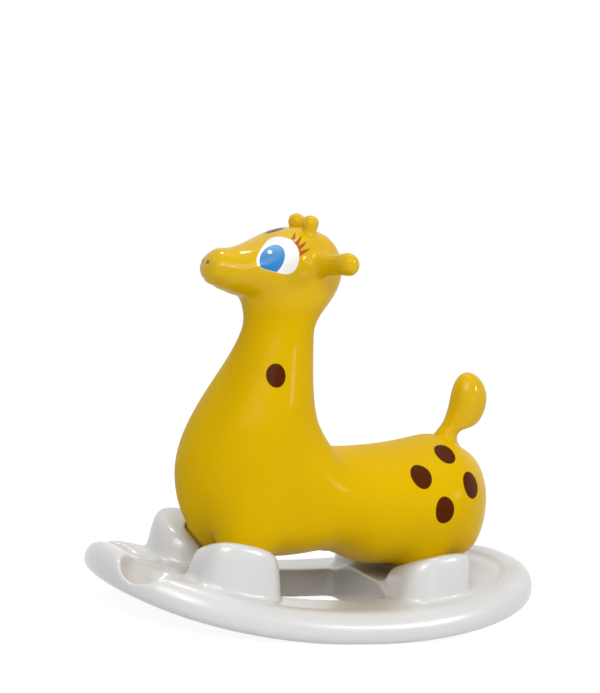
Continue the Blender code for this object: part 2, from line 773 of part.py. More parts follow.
def add_base(legs, material):
    """The moulded rocker base with its rim, recess, window, bridges and leg cups."""
    bm = bmesh.new()
    rings = [base_ring(0.0, 0.0, scale=scale) for scale in (0.20, 0.45, 0.70, 0.88)]
    for angle in (0.0, 30.0, 60.0):
        turn = math.radians(angle)
        rings.append(base_ring(HEEL_ROUNDING * (1 - math.sin(turn)), WIDEST_SHARE * (1 - math.cos(turn))))
    for angle in (0.0, 18.0, 36.0, 54.0, 72.0, 90.0):
        turn = math.radians(angle)
        share = WIDEST_SHARE + (1 - WIDEST_SHARE) * math.sin(turn)
        rings.append(base_ring(CREST_INSET * (1 - math.cos(turn)), share))
    rings.append(base_ring(RIM_WIDTH - DECK_STEP, 1.0))
    for scale in (1.0, 0.80, 0.60, 0.40, 0.20):
        rings.append(base_ring(RIM_WIDTH, 1.0, sunk=1.0, scale=scale))
    loft(bm, rings)
    base = object_from(bm, "rocker_base", material)
    bridge_half = (CUP_OUTER_Y + CUP_INNER_Y) / 2
    low = CUP_FOOT
    front_x = LEG_FRONT_X + CUP_FRONT_SHIFT
    rear_x = LEG_REAR_X + CUP_REAR_SHIFT
    for end, centre_x, length, window_way, window_x, peak in (
        ("front", front_x, CUP_FRONT_LENGTH, 1, WINDOW_FRONT_X, CUP_FRONT_PEAK),
        ("rear", rear_x, CUP_REAR_LENGTH, -1, WINDOW_REAR_X, CUP_REAR_PEAK),
    ):
        reach = sorted((centre_x - window_way * length / 2, window_x + window_way * BRIDGE_OVERHANG))
        boolean(base, add_block(f"bridge_{end}", *reach, bridge_half, low, BRIDGE_HEIGHT), "UNION")
        for side in (-1, 1):
            name = f"cup_{end}_{'left' if side < 0 else 'right'}"
            boolean(base, add_cup(name, centre_x, length, side, window_way, peak), "UNION")
    for side in (-1, 1):
        boolean(base, add_scoop(side), "DIFFERENCE")
    boolean(base, add_window(), "DIFFERENCE")
    boolean(base, legs, "DIFFERENCE")
    return base


def turned(name, profile, x, y, material=None):
    """A solid of revolution about an upright axis, from rows of radius and height."""
    bm = bmesh.new()
    rings = []
    for radius, z in profile:
        ring = []
        for i in range(ROUND_POINTS):
            angle = 2 * math.pi * i / ROUND_POINTS
            ring.append((x + radius * math.cos(angle), y + radius * math.sin(angle), z))
        rings.append(ring)
    loft(bm, rings)
    return object_from(bm, name, material)


def add_valve(skin_mesh, belly_band, material):
    """The push-in plug under the belly, and the stepped hole that it sits in."""
    tree = BVHTree.FromPolygons(
        [vertex.co for vertex in skin_mesh.vertices], [face.vertices for face in skin_mesh.polygons]
    )
    belly = tree.ray_cast(Vector((VALVE_X, 0.0, 0.0)), Vector((0.0, 0.0, 1.0)))[0].z
    seat = belly + VALVE_RECESS
    head = PLUG_HEAD / 2
    stem = PLUG_STEM / 2
    face = seat - SEAT_GAP - PLUG_HEAD_THICKNESS
    tip = face + PLUG_LENGTH
    edge = PLUG_HEAD_THICKNESS / 3
    profile = (
        (head - edge, face),
        (head, face + edge),
        (head, seat - SEAT_GAP),
        (stem, seat - SEAT_GAP),
        (stem, tip - 5 * PLUG_BARB),
        (stem + PLUG_BARB, tip - 4 * PLUG_BARB),
        (stem, tip),
    )
    turned("valve_plug", profile, VALVE_X, 0.0, material)
    wide = head + VALVE_CLEARANCE
    narrow = stem + PLUG_BARB + VALVE_CLEARANCE
    top = tip + VALVE_CLEARANCE
    hole = ((wide, belly - PLUG_LENGTH), (wide, seat), (narrow, seat), (narrow, top))
    boolean(belly_band, turned("valve_cutter", hole, VALVE_X, 0.0), "DIFFERENCE")


def main():
    clear_scene()
    yellow = make_material("yellow_vinyl", (0.78, 0.50, 0.01), 0.22)
    white = make_material("white_plastic", (0.80, 0.79, 0.77), 0.30)
    grey = make_material("plug_vinyl", (0.72, 0.71, 0.68), 0.35)
    skin_mesh = evaluated_mesh(build_skin())
    belly_band = add_zones(skin_mesh, yellow)
    add_base(leg_cutter(skin_mesh), white)
    add_valve(skin_mesh, belly_band, grey)


main()
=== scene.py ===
"""Finish of the inflatable bouncing giraffe: one glossy blown skin standing in a pearly rocker base.

The giraffe faces -X, its left side is -Y and the floor is z = 0. Sizes are in metres.
"""

import math
from collections import namedtuple

import bmesh
import bpy
import numpy as np
from mathutils import Matrix, Vector
from mathutils.bvhtree import BVHTree


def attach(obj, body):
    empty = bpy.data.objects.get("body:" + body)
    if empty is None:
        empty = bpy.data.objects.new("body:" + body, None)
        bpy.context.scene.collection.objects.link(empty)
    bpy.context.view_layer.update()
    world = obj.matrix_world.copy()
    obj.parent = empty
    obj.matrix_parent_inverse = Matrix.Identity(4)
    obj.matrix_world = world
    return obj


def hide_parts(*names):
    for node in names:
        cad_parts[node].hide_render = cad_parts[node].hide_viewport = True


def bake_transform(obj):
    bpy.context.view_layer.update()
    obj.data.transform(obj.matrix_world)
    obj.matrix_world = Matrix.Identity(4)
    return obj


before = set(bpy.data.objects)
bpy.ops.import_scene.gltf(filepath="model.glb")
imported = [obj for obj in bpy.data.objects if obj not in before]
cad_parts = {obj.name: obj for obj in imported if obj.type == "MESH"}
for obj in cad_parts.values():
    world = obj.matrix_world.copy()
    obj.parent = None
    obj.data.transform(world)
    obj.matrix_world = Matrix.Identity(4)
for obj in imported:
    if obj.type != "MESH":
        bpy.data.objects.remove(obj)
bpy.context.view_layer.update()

# Rocker base
BASE_LENGTH = 0.720
BASE_WIDTH = 0.380
BASE_SQUARENESS = 2.77
RIM_HEIGHT = 0.045
RIM_WIDTH = 0.048
CREST_INSET = 0.031
ROCKER_RADIUS = 1.205
CREST_RADIUS = 1.030
REST_FLAT_DEPTH = 0.0005
HEEL_ROUNDING = 0.012
WIDEST_SHARE = 0.22
DECK_DROP = 0.0045
DECK_STEP = 0.005
DECK_LEVEL_LENGTH = 0.24
BRIDGE_HEIGHT = 0.0645
BRIDGE_OVERHANG = 0.010
BRIDGE_LEVEL = 0.60
BRIDGE_END_RISE = 0.30
BRIDGE_REACH = 0.008
WINDOW_FRONT_X = -0.097
WINDOW_REAR_X = 0.084
WINDOW_WIDTH = 0.186
WINDOW_CORNER = 0.014

# Leg cups
CUP_FRONT_PEAK = 0.1465
CUP_REAR_PEAK = 0.1365
CUP_WINDOW_DROP = 0.024
CUP_INNER_DROP = 0.042
CUP_FRONT_LENGTH = 0.140
CUP_REAR_LENGTH = 0.132
CUP_RIM_LAP = 0.001
CUP_OUTER_Y = BASE_WIDTH / 2 - RIM_WIDTH + CUP_RIM_LAP
CUP_INNER_Y = 0.026
CUP_FRONT_SHIFT = -0.015
CUP_REAR_SHIFT = 0.001
CUP_SQUARENESS = 3.0
CUP_FOOT = 0.040
CUP_CLEARANCE = 0.0018
SEAT_GAP = 0.0003

# Foot scoops in the front of the rim
SCOOP_FRONT_INSET = 0.0665
SCOOP_X = SCOOP_FRONT_INSET - BASE_LENGTH / 2
SCOOP_SIDE_INSET = 0.121
SCOOP_Y = BASE_WIDTH / 2 - SCOOP_SIDE_INSET
SCOOP_LENGTH = 0.086
SCOOP_WIDTH = 0.112
SCOOP_DEPTH = 0.037
SCOOP_TURN = 55.0

# Legs
LEG_FRONT_X = -0.158
LEG_REAR_X = 0.152
LEG_Y = 0.0655
LEG_RADIUS = 0.0315
LEG_TOP_HEIGHT = 0.078
LEG_ROOT_RADIUS = 0.0425
FOOT_RADIUS = 0.0283
FOOT_HEIGHT = 0.026

# Torso
BELLY_HEIGHT = 0.103
HAUNCH_UNDERSIDE = 0.082
CHEST_UNDERSIDE = 0.087
SEAT_HEIGHT = 0.262
RUMP_HEIGHT = 0.289
RUMP_X = 0.265
RUMP_FULLNESS = 2.8
HAUNCH_FULLNESS = 2.3
HAUNCH_WIDTH = 0.242
WAIST_WIDTH = 0.204
CHEST_WIDTH = 0.192
CHEST_X = -0.243
UNDERSIDE_CORNER = 2.6
SHOULDER_FLARE = 0.55
LEG_SPREAD = (0.0, -4.5, 3.0, 12.5, 0.0)

# Neck and head
NECK_WIDTH = 0.105
NECK_BACK_X = -0.053
NECK_THROAT_X = -0.162
THROAT_HEIGHT = 0.473
HEAD_WIDTH = 0.122
HEAD_TOP = 0.591
HEAD_BACK_X = -0.018
MUZZLE_X = -0.240
MUZZLE_HEIGHT = 0.517
MUZZLE_WIDTH = 0.062
CHIN_HEIGHT = 0.484

# Ears, horns and tail
EAR_LENGTH = 0.078
EAR_WIDTH = 0.030
EAR_SWEEP = 11.0
EAR_RISE = 7.0
EAR_RING_TURN = 16.0
HORN_BALL = 0.0255
HORN_STEM = 0.0205
HORN_HEIGHT = 0.026
TAIL_X = 0.208
TAIL_HEIGHT = 0.101
TAIL_DEPTH = 0.059
TAIL_WIDTH = 0.050
TAIL_ROOT = 0.036
TAIL_LEAN = 0.030

# Mouth line and lower lip
MOUTH_HEIGHT = 0.5005
MOUTH_CURL = 0.0055
MOUTH_HALF_WIDTH = 0.028
MOUTH_BACK_X = -0.214
MOUTH_FADE = 0.012
MOUTH_DEPTH = 0.0012
MOUTH_GROOVE = 0.0019
LIP_SWELL = 0.0011
LIP_DROP = 0.0065
LIP_HALF_HEIGHT = 0.0055

# Mesh detail
RING = 16
LIMB_RING = 8
TUBE_STEPS = 4
RAY_START = 0.15
CAP_SPREAD = 0.55
CAP_BULGE = 0.82
FIT_ROUNDS = 3
ROOT_ROUNDS = 3
SKIN_LEVELS = 3
OUTLINE_POINTS = 288
CUP_POINTS = 96
ROUND_POINTS = 64
CORNER_STEPS = 9
BASE_VOXEL = 0.0029
BASE_SOFTENING = 6
SCOOP_SOFTENING = 80
SCOOP_LIP_REACH = 0.095
SCOOP_LIP_LOW = 0.030
SCOOP_LIP_FADE = 0.015
JAW_SOFTENING = 110
JAW_PLACE = (-0.190, 0.485)
JAW_REACH = 0.058

BELOW = 0.05
ABOVE = 0.40
CUTTER_TOP = 0.175

Section = namedtuple("Section", "back belly half_width corner flare", defaults=(2.0, 0.0))
LimbRing = namedtuple("LimbRing", "centre first second")

REAR_LEG_SECTION = 3
FRONT_LEG_SECTION = 9
TAIL_SECTION = 1
EAR_SECTION = 18
HORN_SECTION = 20


# Mesh helpers

def object_from(bm, name):
    bmesh.ops.recalc_face_normals(bm, faces=bm.faces[:])
    mesh = bpy.data.meshes.new(name)
    bm.to_mesh(mesh)
    bm.free()
    thing = bpy.data.objects.new(name, mesh)
    bpy.context.scene.collection.objects.link(thing)
    return thing


def evaluated_mesh(thing):
    graph = bpy.context.evaluated_depsgraph_get()
    return bpy.data.meshes.new_from_object(thing.evaluated_get(graph))


def freeze(thing):
    """Applies every modifier of an object."""
    mesh = evaluated_mesh(thing)
    thing.modifiers.clear()
    thing.data = mesh


def soften_where(thing, share, rounds):
    """Smooths the places that the share function picks, and keeps the rest as it is."""
    group = thing.vertex_groups.new(name="softened")
    for vertex in thing.data.vertices:
        weight = share(*vertex.co)
        if weight > 0:
            group.add([vertex.index], weight, "REPLACE")
    soften = thing.modifiers.new("Soften", "SMOOTH")
    soften.factor = 0.5
    soften.iterations = rounds
    soften.vertex_group = group.name
    freeze(thing)
    thing.vertex_groups.clear()


def close_between(bm, lower, upper):
    """Quads between two rings that hold the same number of points."""
    count = len(lower)
    for i in range(count):
        j = (i + 1) % count
        bm.faces.new((lower[i], lower[j], upper[j], upper[i]))


def loft(bm, rings):
    """A closed skin through rings of points, with one face on the first and one on the last."""
    made = [[bm.verts.new(point) for point in ring] for ring in rings]
    for lower, upper in zip(made, made[1:]):
        close_between(bm, lower, upper)
    bm.faces.new(made[0])
    bm.faces.new(made[-1])


def superellipse(half_length, half_width, power, count):
    points = []
    for i in range(count):
        angle = 2 * math.pi * i / count
        c, s = math.cos(angle), math.sin(angle)
        reach = (abs(c) ** power + abs(s) ** power) ** (-1 / power)
        points.append((half_length * c * reach, half_width * s * reach))
    return points


# The giraffe's skin

def torso_sections():
    """Upright sections from the rump forward to the waist."""
    haunch = HAUNCH_WIDTH / 2
    waist = WAIST_WIDTH / 2
    middle = (RUMP_HEIGHT + HAUNCH_UNDERSIDE) / 2
    half_height = (RUMP_HEIGHT - HAUNCH_UNDERSIDE) / 2
    power = RUMP_FULLNESS
    low_power = HAUNCH_FULLNESS
    sections = []
    for along in (0.95, 0.82, 0.60, 0.30):
        x = LEG_REAR_X + along * (RUMP_X - LEG_REAR_X)
        rise = half_height * (1 - along**power) ** (1 / power)
        fall = half_height * (1 - along**low_power) ** (1 / low_power)
        width = haunch * (1 - along ** (power - 0.4)) ** (1 / (power - 0.4))
        sections.append(Section((x, middle + rise), (x, middle - fall), width, UNDERSIDE_CORNER))
    dip = RUMP_HEIGHT - SEAT_HEIGHT
    arch = BELLY_HEIGHT - HAUNCH_UNDERSIDE
    # Each row: share of the way from the rear leg to the middle, height over the seat,
    # share of the belly's arch, and share of the narrowing to the waist.
    for share, height, lift, narrowing in (
        (0.00, 0.65, 0.00, 0.00),
        (0.32, 0.28, 0.00, 0.17),
        (0.64, 0.06, 0.25, 0.60),
        (0.97, 0.00, 0.97, 1.00),
    ):
        x = LEG_REAR_X * (1 - share)
        top = (x, SEAT_HEIGHT + height * dip)
        bottom = (x, HAUNCH_UNDERSIDE + lift * arch)
        corner = UNDERSIDE_CORNER + (2 - UNDERSIDE_CORNER) * share
        sections.append(Section(top, bottom, haunch + (waist - haunch) * narrowing, corner))
    return sections


def chest_sections():
    """Sections that fan round the withers, from the belly up the chest to the middle of the neck."""
    back = NECK_BACK_X
    seat = SEAT_HEIGHT
    low = CHEST_UNDERSIDE
    throat = NECK_THROAT_X
    neck = NECK_WIDTH / 2
    spread = CHEST_WIDTH / 2 - neck
    sections = []
    # Each row: the back's distance behind the neck and over the seat, the belly's place,
    # the share of the chest's extra width, and the share of the flare over the front legs.
    for behind, over, belly, extra, flare in (
        (0.035, 0.018, (LEG_FRONT_X + 0.108, 0.6 * BELLY_HEIGHT + 0.4 * low), 1.08, 0.25),
        (0.017, 0.046, (LEG_FRONT_X + 0.044, low), 1.04, 0.75),
        (0.008, 0.077, (LEG_FRONT_X - 0.015, low + 0.004), 1.00, 1.00),
        (0.004, 0.104, (CHEST_X + 0.019, low + 0.054), 0.98, 0.60),
        (0.002, 0.128, (CHEST_X + 0.001, low + 0.110), 0.85, 0.00),
        (0.001, 0.150, (CHEST_X + 0.006, low + 0.174), 0.58, 0.00),
        (0.000, 0.170, (CHEST_X + 0.034, low + 0.240), 0.30, 0.00),
        (0.001, 0.188, (throat - 0.017, low + 0.298), 0.08, 0.00),
    ):
        corner = 2 + (UNDERSIDE_CORNER - 2) * min(1.0, 1.3 * flare)
        top = (back + behind, seat + over)
        sections.append(Section(top, belly, neck + extra * spread, corner, SHOULDER_FLARE * flare))
    return sections


def head_sections():
    """Sections that fan round the throat, from the neck over the crown and out to the muzzle."""
    nape = HEAD_BACK_X
    top = HEAD_TOP
    throat = NECK_THROAT_X
    collar = THROAT_HEIGHT
    jaw = CHIN_HEIGHT
    tip = MUZZLE_X
    neck = NECK_WIDTH / 2
    head = HEAD_WIDTH / 2
    muzzle = MUZZLE_WIDTH / 2
    brow = HEAD_TOP - MUZZLE_HEIGHT
    return [
        Section((NECK_BACK_X + 0.011, collar - 0.002), (throat, collar - 0.040), neck),
        Section((nape - 0.009, collar + 0.022), (throat - 0.004, collar - 0.014), (neck + head) / 2),
        Section((nape, top - 0.067), (throat - 0.012, collar + 0.003), head - 0.0015),
        Section((nape - 0.008, top - 0.032), (throat - 0.021, jaw - 0.004), head),
        Section((nape - 0.033, top - 0.008), (throat - 0.029, jaw - 0.003), head),
        Section((nape - 0.059, top - 0.0005), (throat - 0.036, jaw - 0.001), head - 0.001),
        Section((nape - 0.084, top - 0.001), (throat - 0.042, jaw + 0.001), head - 0.003),
        Section((nape - 0.112, top - 0.007), (throat - 0.049, jaw + 0.003), head - 0.008),
        Section((nape - 0.140, top - 0.022), (throat - 0.056, jaw + 0.006), muzzle + 0.015),
        Section((tip + 0.045, MUZZLE_HEIGHT + 0.47 * brow), (tip + 0.020, jaw + 0.009), muzzle + 0.006),
        Section((tip + 0.022, MUZZLE_HEIGHT + 0.42 * brow), (tip + 0.010, jaw + 0.012), muzzle),
        Section((tip + 0.007, MUZZLE_HEIGHT + 0.27 * brow), (tip + 0.004, jaw + 0.018), 0.74 * muzzle),
    ]


def section_point(section, k):
    """Point k of a section's ring: 0 is the back, RING / 4 the left side and RING / 2 the belly or throat.

    Below the sides the corner, over 2, squares the outline, and the flare widens it.
    """
    half = min(k % RING, RING - k % RING)
    turn = 360 / RING * half
    if section.corner > 2:
        shift = np.interp(half, range(RING // 4, RING // 2 + 1), LEG_SPREAD)
        turn += shift * (section.corner - 2) / (UNDERSIDE_CORNER - 2)
    angle = math.radians(turn)
    c, s = math.cos(angle), math.sin(angle)
    if half < k % RING:
        s = -s
    if c < 0:
        power = 2 / section.corner
        wide = 1 - section.flare * c
        c, s = -(abs(c) ** power), math.copysign(abs(s) ** power, s) * wide
    back = Vector((section.back[0], 0.0, section.back[1]))
    belly = Vector((section.belly[0], 0.0, section.belly[1]))
    side = Vector((0.0, -section.half_width, 0.0))
    return (back + belly) / 2 + (back - belly) / 2 * c + side * s


def between(first, second, share):
    """The section that lies a share of the way from one section to the next."""
    def mix(a, b):
        return a + (b - a) * share
    return Section(
        tuple(map(mix, first.back, second.back)),
        tuple(map(mix, first.belly, second.belly)),
        mix(first.half_width, second.half_width),
        mix(first.corner, second.corner),
        mix(first.flare, second.flare),
    )


def tube_tree(sections):
    """The tube through the sections as a finer surface that rays can be sent at."""
    rows = []
    for first, second in zip(sections, sections[1:]):
        rows += [between(first, second, step / TUBE_STEPS) for step in range(TUBE_STEPS)]
    rows.append(sections[-1])
    count = RING * TUBE_STEPS
    points = [section_point(row, k / TUBE_STEPS) for row in rows for k in range(count)]
    cells = []
    for j in range(len(rows) - 1):
        for k in range(count):
            m = (k + 1) % count
            cells.append((j * count + k, j * count + m, (j + 1) * count + m, (j + 1) * count + k))
    return BVHTree.FromPolygons(points, cells)


class Patch:
    """Four neighbouring cells of the tube that a limb grows from.

    It runs over sections first to first + 2, and over the ring points near, near + step and near + 2 * step.
    """

    def __init__(self, first, near, step):
        self.sections = (first, first + 1, first + 2)
        self.points = tuple((near + n * step) % RING for n in range(3))
        self.low_points = self.points[:2] if step > 0 else self.points[1:]

    def cells(self):
        return {(j, k) for j in self.sections[:2] for k in self.low_points}

    def edge(self, rings):
        """The eight points round the patch, from its first corner."""
        a, b, c = (rings[j] for j in self.sections)
        near, middle, far = self.points
        return [a[near], a[middle], a[far], b[far], c[far], c[middle], c[near], b[near]]

    def centre(self, rings):
        return rings[self.sections[1]][self.points[1]]


class Cage:
    """A cage of quads whose smoothed surface is fitted through the points that it is given."""

    def __init__(self, sections, patches):
        self.bm = bmesh.new()
        self.loose = set()
        self.tube = tube_tree(sections)
        self.rings = []
        for section in sections:
            self.rings.append([self.bm.verts.new(section_point(section, k)) for k in range(RING)])
        open_cells = set().union(*(patch.cells() for patch in patches))
        for j, (lower, upper) in enumerate(zip(self.rings, self.rings[1:])):
            for k in range(RING):
                if (j, k) not in open_cells:
                    m = (k + 1) % RING
                    self.bm.faces.new((lower[k], lower[m], upper[m], upper[k]))

    def cap(self, ring, pole):
        """Closes a ring with a grid of quads, which leaves no fan of triangles at the end."""
        centre = sum((vertex.co for vertex in ring), Vector()) / RING
        inner = []
        for k in range(0, RING, 2):
            place = centre + (ring[k].co - centre) * CAP_SPREAD + (pole - centre) * CAP_BULGE
            inner.append(self.bm.verts.new(place))
        middle = self.bm.verts.new(pole)
        count = len(inner)
        for m in range(0, count, 2):
            k = 2 * m
            self.bm.faces.new((ring[k - 1], ring[k], inner[m], inner[m - 1]))
            self.bm.faces.new((ring[k], ring[k + 1], inner[m + 1], inner[m]))
            self.bm.faces.new((ring[k + 1], ring[k + 2], ring[k + 3], inner[m + 1]))
            self.bm.faces.new((inner[m], inner[m + 1], inner[(m + 2) % count], middle))

    def limb(self, patch, limb_rings, tip, even_root):
        """Grows a limb from the edge of a patch.

        Its first ring is laid on the tube, and four quads close its end.
        """
        self.bm.verts.remove(patch.centre(self.rings))
        edge = patch.edge(self.rings)
        inward = (limb_rings[0].centre - limb_rings[1].centre).normalized()
        for n, ring in enumerate(limb_rings):
            made = []
            for i in range(LIMB_RING):
                angle = math.pi / 4 - 2 * math.pi * i / LIMB_RING
                place = ring.centre + ring.first * math.cos(angle) + ring.second * math.sin(angle)
                if n == 0:
                    place = self.tube.ray_cast(place - inward * RAY_START, inward)[0] or place
                made.append(self.bm.verts.new(place))
            close_between(self.bm, edge, made)
            if n == 0 and even_root:
                self.loose.update(edge, made)
            edge = made
        middle = self.bm.verts.new(tip)
        for i in range(0, LIMB_RING, 2):
            self.bm.faces.new((edge[i - 1], edge[i], edge[i + 1], middle))

    def fit(self):
        """Evens out the roots of legs and ears.

        Then it moves the cage until its smoothed surface meets its points.
        """
        vertices = list(self.bm.verts)
        loose = [vertex for vertex in vertices if vertex in self.loose]
        axes = {"use_axis_x": True, "use_axis_y": True, "use_axis_z": True}
        for _ in range(ROOT_ROUNDS):
            bmesh.ops.smooth_vert(self.bm, verts=loose, factor=0.5, **axes)
        self.bm.verts.index_update()
        goal = np.array([vertex.co for vertex in vertices])
        weights = np.zeros((len(vertices), len(vertices)))
        for vertex in vertices:
            n = len(vertex.link_edges)
            row = weights[vertex.index]
            row[vertex.index] = n * n
            for edge in vertex.link_edges:
                row[edge.other_vert(vertex).index] += 4
            for face in vertex.link_faces:
                corners = list(face.verts)
                row[corners[(corners.index(vertex) + 2) % 4].index] += 1
            row /= n * (n + 5)
        place = goal.copy()
        for _ in range(FIT_ROUNDS):
            place += goal - weights @ place
        for vertex, point in zip(vertices, place):
            vertex.co = point


def leg_rings(x, side):
    """Rings down one leg, which narrows all the way so that it lifts out of its cup, and its sole."""
    first = Vector((1.0, 0.0, 0.0))
    second = Vector((0.0, side, 0.0))
    drop = LEG_TOP_HEIGHT - FOOT_HEIGHT
    rings = []
    middle = (LEG_RADIUS + FOOT_RADIUS) / 2
    # Each row: share of the drop and the radius. The first ring is laid on the body.
    for share, radius in (
        (-0.50, LEG_ROOT_RADIUS),
        (0.00, LEG_RADIUS),
        (0.45, middle),
        (0.85, FOOT_RADIUS),
        (0.985, FOOT_RADIUS - 0.002),
    ):
        centre = Vector((x, side * LEG_Y, LEG_TOP_HEIGHT - share * drop))
        rings.append(LimbRing(centre, first * radius, second * radius))
    return rings, Vector((x, side * LEG_Y, FOOT_HEIGHT))


def ear_rings(side):
    """Rings along one ear, which is also the hand grip, and its tip."""
    sweep = math.radians(EAR_SWEEP)
    axis = Vector((math.sin(sweep), side * math.cos(sweep), math.sin(math.radians(EAR_RISE)))).normalized()
    rear = Vector((1.0, 0.0, 0.0))
    rear = (rear - axis * rear.dot(axis)).normalized()
    down = Vector((0.0, 0.0, -1.0))
    down = (down - axis * down.dot(axis)).normalized()
    turn = math.radians(EAR_RING_TURN)
    first = down * math.cos(turn) + rear * math.sin(turn)
    second = rear * math.cos(turn) - down * math.sin(turn)
    root = Vector((HEAD_BACK_X - 0.057, side * (HEAD_WIDTH / 2 - 0.003), HEAD_TOP - 0.051))
    radius = EAR_WIDTH / 2
    rings = []
    # Each row: share of the length, half depth and half height in shares of the radius.
    for share, across, along in (
        (0.00, 1.20, 1.35),
        (0.09, 0.98, 1.14),
        (0.28, 0.84, 1.02),
        (0.55, 0.88, 1.02),
        (0.80, 1.00, 1.12),
        (0.95, 0.70, 0.80),
    ):
        centre = root + axis * EAR_LENGTH * share
        rings.append(LimbRing(centre, first * radius * along, second * radius * across))
    return rings, root + axis * EAR_LENGTH


def horn_rings(side):
    """Rings up one horn: a short stem and a ball."""
    x = HEAD_BACK_X - 0.068
    y = side * 0.024
    foot = HEAD_TOP - 0.006
    ball = HORN_BALL / 2
    stem = HORN_STEM / 2
    middle = foot + HORN_HEIGHT - ball
    first = Vector((1.0, 0.0, 0.0))
    second = Vector((0.0, -side, 0.0))
    rings = []
    for height, radius in (
        (foot, stem * 1.30),
        (middle - 0.75 * ball, stem),
        (middle, ball),
        (middle + 0.66 * ball, ball * 0.75),
    ):
        rings.append(LimbRing(Vector((x, y, height)), first * radius, second * radius))
    return rings, Vector((x, y, middle + ball))


def tail_rings():
    """Rings up the tail: a pinched root and a fat upright knob that leans back."""
    first = Vector((1.0, 0.0, 0.0))
    second = Vector((0.0, 1.0, 0.0))
    depth = TAIL_DEPTH / 2
    width = TAIL_WIDTH / 2
    root = TAIL_ROOT / 2
    rings = []
    # Each row: share of the height, share of the lean, half depth and half width.
    for share, lean, deep, wide in (
        (0.00, 0.00, 1.20 * root, 1.20 * root),
        (0.08, 0.08, root, root),
        (0.18, 0.60, 0.90 * depth, 0.88 * width),
        (0.42, 0.95, 1.02 * depth, width),
        (0.68, 1.00, 0.98 * depth, 0.97 * width),
        (0.88, 0.92, 0.70 * depth, 0.70 * width),
        (0.97, 0.86, 0.36 * depth, 0.36 * width),
    ):
        centre = Vector((TAIL_X + TAIL_LEAN * lean, 0.0, RUMP_HEIGHT + TAIL_HEIGHT * share))
        rings.append(LimbRing(centre, first * deep, second * wide))
    return rings, Vector((TAIL_X + 0.84 * TAIL_LEAN, 0.0, RUMP_HEIGHT + TAIL_HEIGHT))


def build_skin():
    """The giraffe's whole skin as one smooth mesh without a seam."""
    sections = torso_sections() + chest_sections() + head_sections()
    limbs = []
    for side, step in ((-1, 1), (1, -1)):
        limbs.append((Patch(REAR_LEG_SECTION, 5 * step, step), *leg_rings(LEG_REAR_X, side), True))
        limbs.append((Patch(FRONT_LEG_SECTION, 5 * step, step), *leg_rings(LEG_FRONT_X, side), True))
        limbs.append((Patch(EAR_SECTION, 2 * step, step), *ear_rings(side), True))
        limbs.append((Patch(HORN_SECTION, 0, step), *horn_rings(side), False))
    limbs.append((Patch(TAIL_SECTION, -1, 1), *tail_rings(), False))
    cage = Cage(sections, [limb[0] for limb in limbs])
    cage.cap(cage.rings[0], Vector((RUMP_X, 0.0, (RUMP_HEIGHT + HAUNCH_UNDERSIDE) / 2)))
    cage.cap(cage.rings[-1], Vector((MUZZLE_X, 0.0, MUZZLE_HEIGHT)))
    for limb in limbs:
        cage.limb(*limb)
    cage.fit()
    skin = object_from(cage.bm, "giraffe_skin")
    smooth = skin.modifiers.new("Smooth", "SUBSURF")
    smooth.levels = SKIN_LEVELS
    smooth.render_levels = SKIN_LEVELS
    freeze(skin)
    soften_where(skin, jaw_share, JAW_SOFTENING)
    shape_mouth(skin)
    return skin


def jaw_share(x, y, z):
    """How far a point of the skin belongs to the edge between jaw and throat."""
    away = math.hypot(x - JAW_PLACE[0], z - JAW_PLACE[1]) / JAW_REACH
    return min(1.0, max(0.0, 2.0 * (1.0 - away)))


def shape_mouth(skin):
    """Presses a shallow mouth line into the muzzle and swells a small lip under it."""
    mesh = skin.data
    count = len(mesh.vertices)
    places = np.empty(count * 3, np.float32)
    mesh.vertices.foreach_get("co", places)
    places = places.reshape(-1, 3)
    outward = np.empty(count * 3, np.float32)
    mesh.vertices.foreach_get("normal", outward)
    outward = outward.reshape(-1, 3)
    x, y, z = places.T
    above = z - (MOUTH_HEIGHT + MOUTH_CURL * (y / MOUTH_HALF_WIDTH) ** 2)
    near = np.clip((MOUTH_HALF_WIDTH - abs(y)) / MOUTH_FADE, 0, 1)
    near = near * np.clip((MOUTH_BACK_X - x) / MOUTH_FADE, 0, 1)
    groove = MOUTH_DEPTH * np.exp(-((above / MOUTH_GROOVE) ** 2))
    lip = LIP_SWELL * np.exp(-(((above + LIP_DROP) / LIP_HALF_HEIGHT) ** 2))
    places += outward * ((lip - groove) * near)[:, None]
    mesh.vertices.foreach_set("co", places.ravel())
    mesh.update()


# The rocker base

def under_height(x):
    return ROCKER_RADIUS - math.sqrt(ROCKER_RADIUS**2 - x**2) - REST_FLAT_DEPTH


def crest_height(x):
    return RIM_HEIGHT + CREST_RADIUS - math.sqrt(CREST_RADIUS**2 - x**2)


def deck_drop(x):
    """The deck is level with the crest beside the window, and sunk at both ends of the base."""
    return DECK_DROP * min(1.0, abs(x) / DECK_LEVEL_LENGTH) ** 3


def base_ring(inset, share, sunk=0.0, scale=1.0):
    """A closed outline of the base, at a share of the way up from the rockers to the rim's crest."""
    length = (BASE_LENGTH / 2 - inset) * scale
    width = (BASE_WIDTH / 2 - inset) * scale
    ring = []
    for x, y in superellipse(length, width, BASE_SQUARENESS, OUTLINE_POINTS):
        low = max(0.0, under_height(x))
        ring.append((x, y, low + (crest_height(x) - low) * share - sunk * deck_drop(x)))
    return ring


def combine(thing, other, operation):
    modifier = thing.modifiers.new(other.name, "BOOLEAN")
    modifier.operation = operation
    modifier.solver = "MANIFOLD"
    modifier.object = other
    freeze(thing)
    bpy.data.objects.remove(other, do_unlink=True)


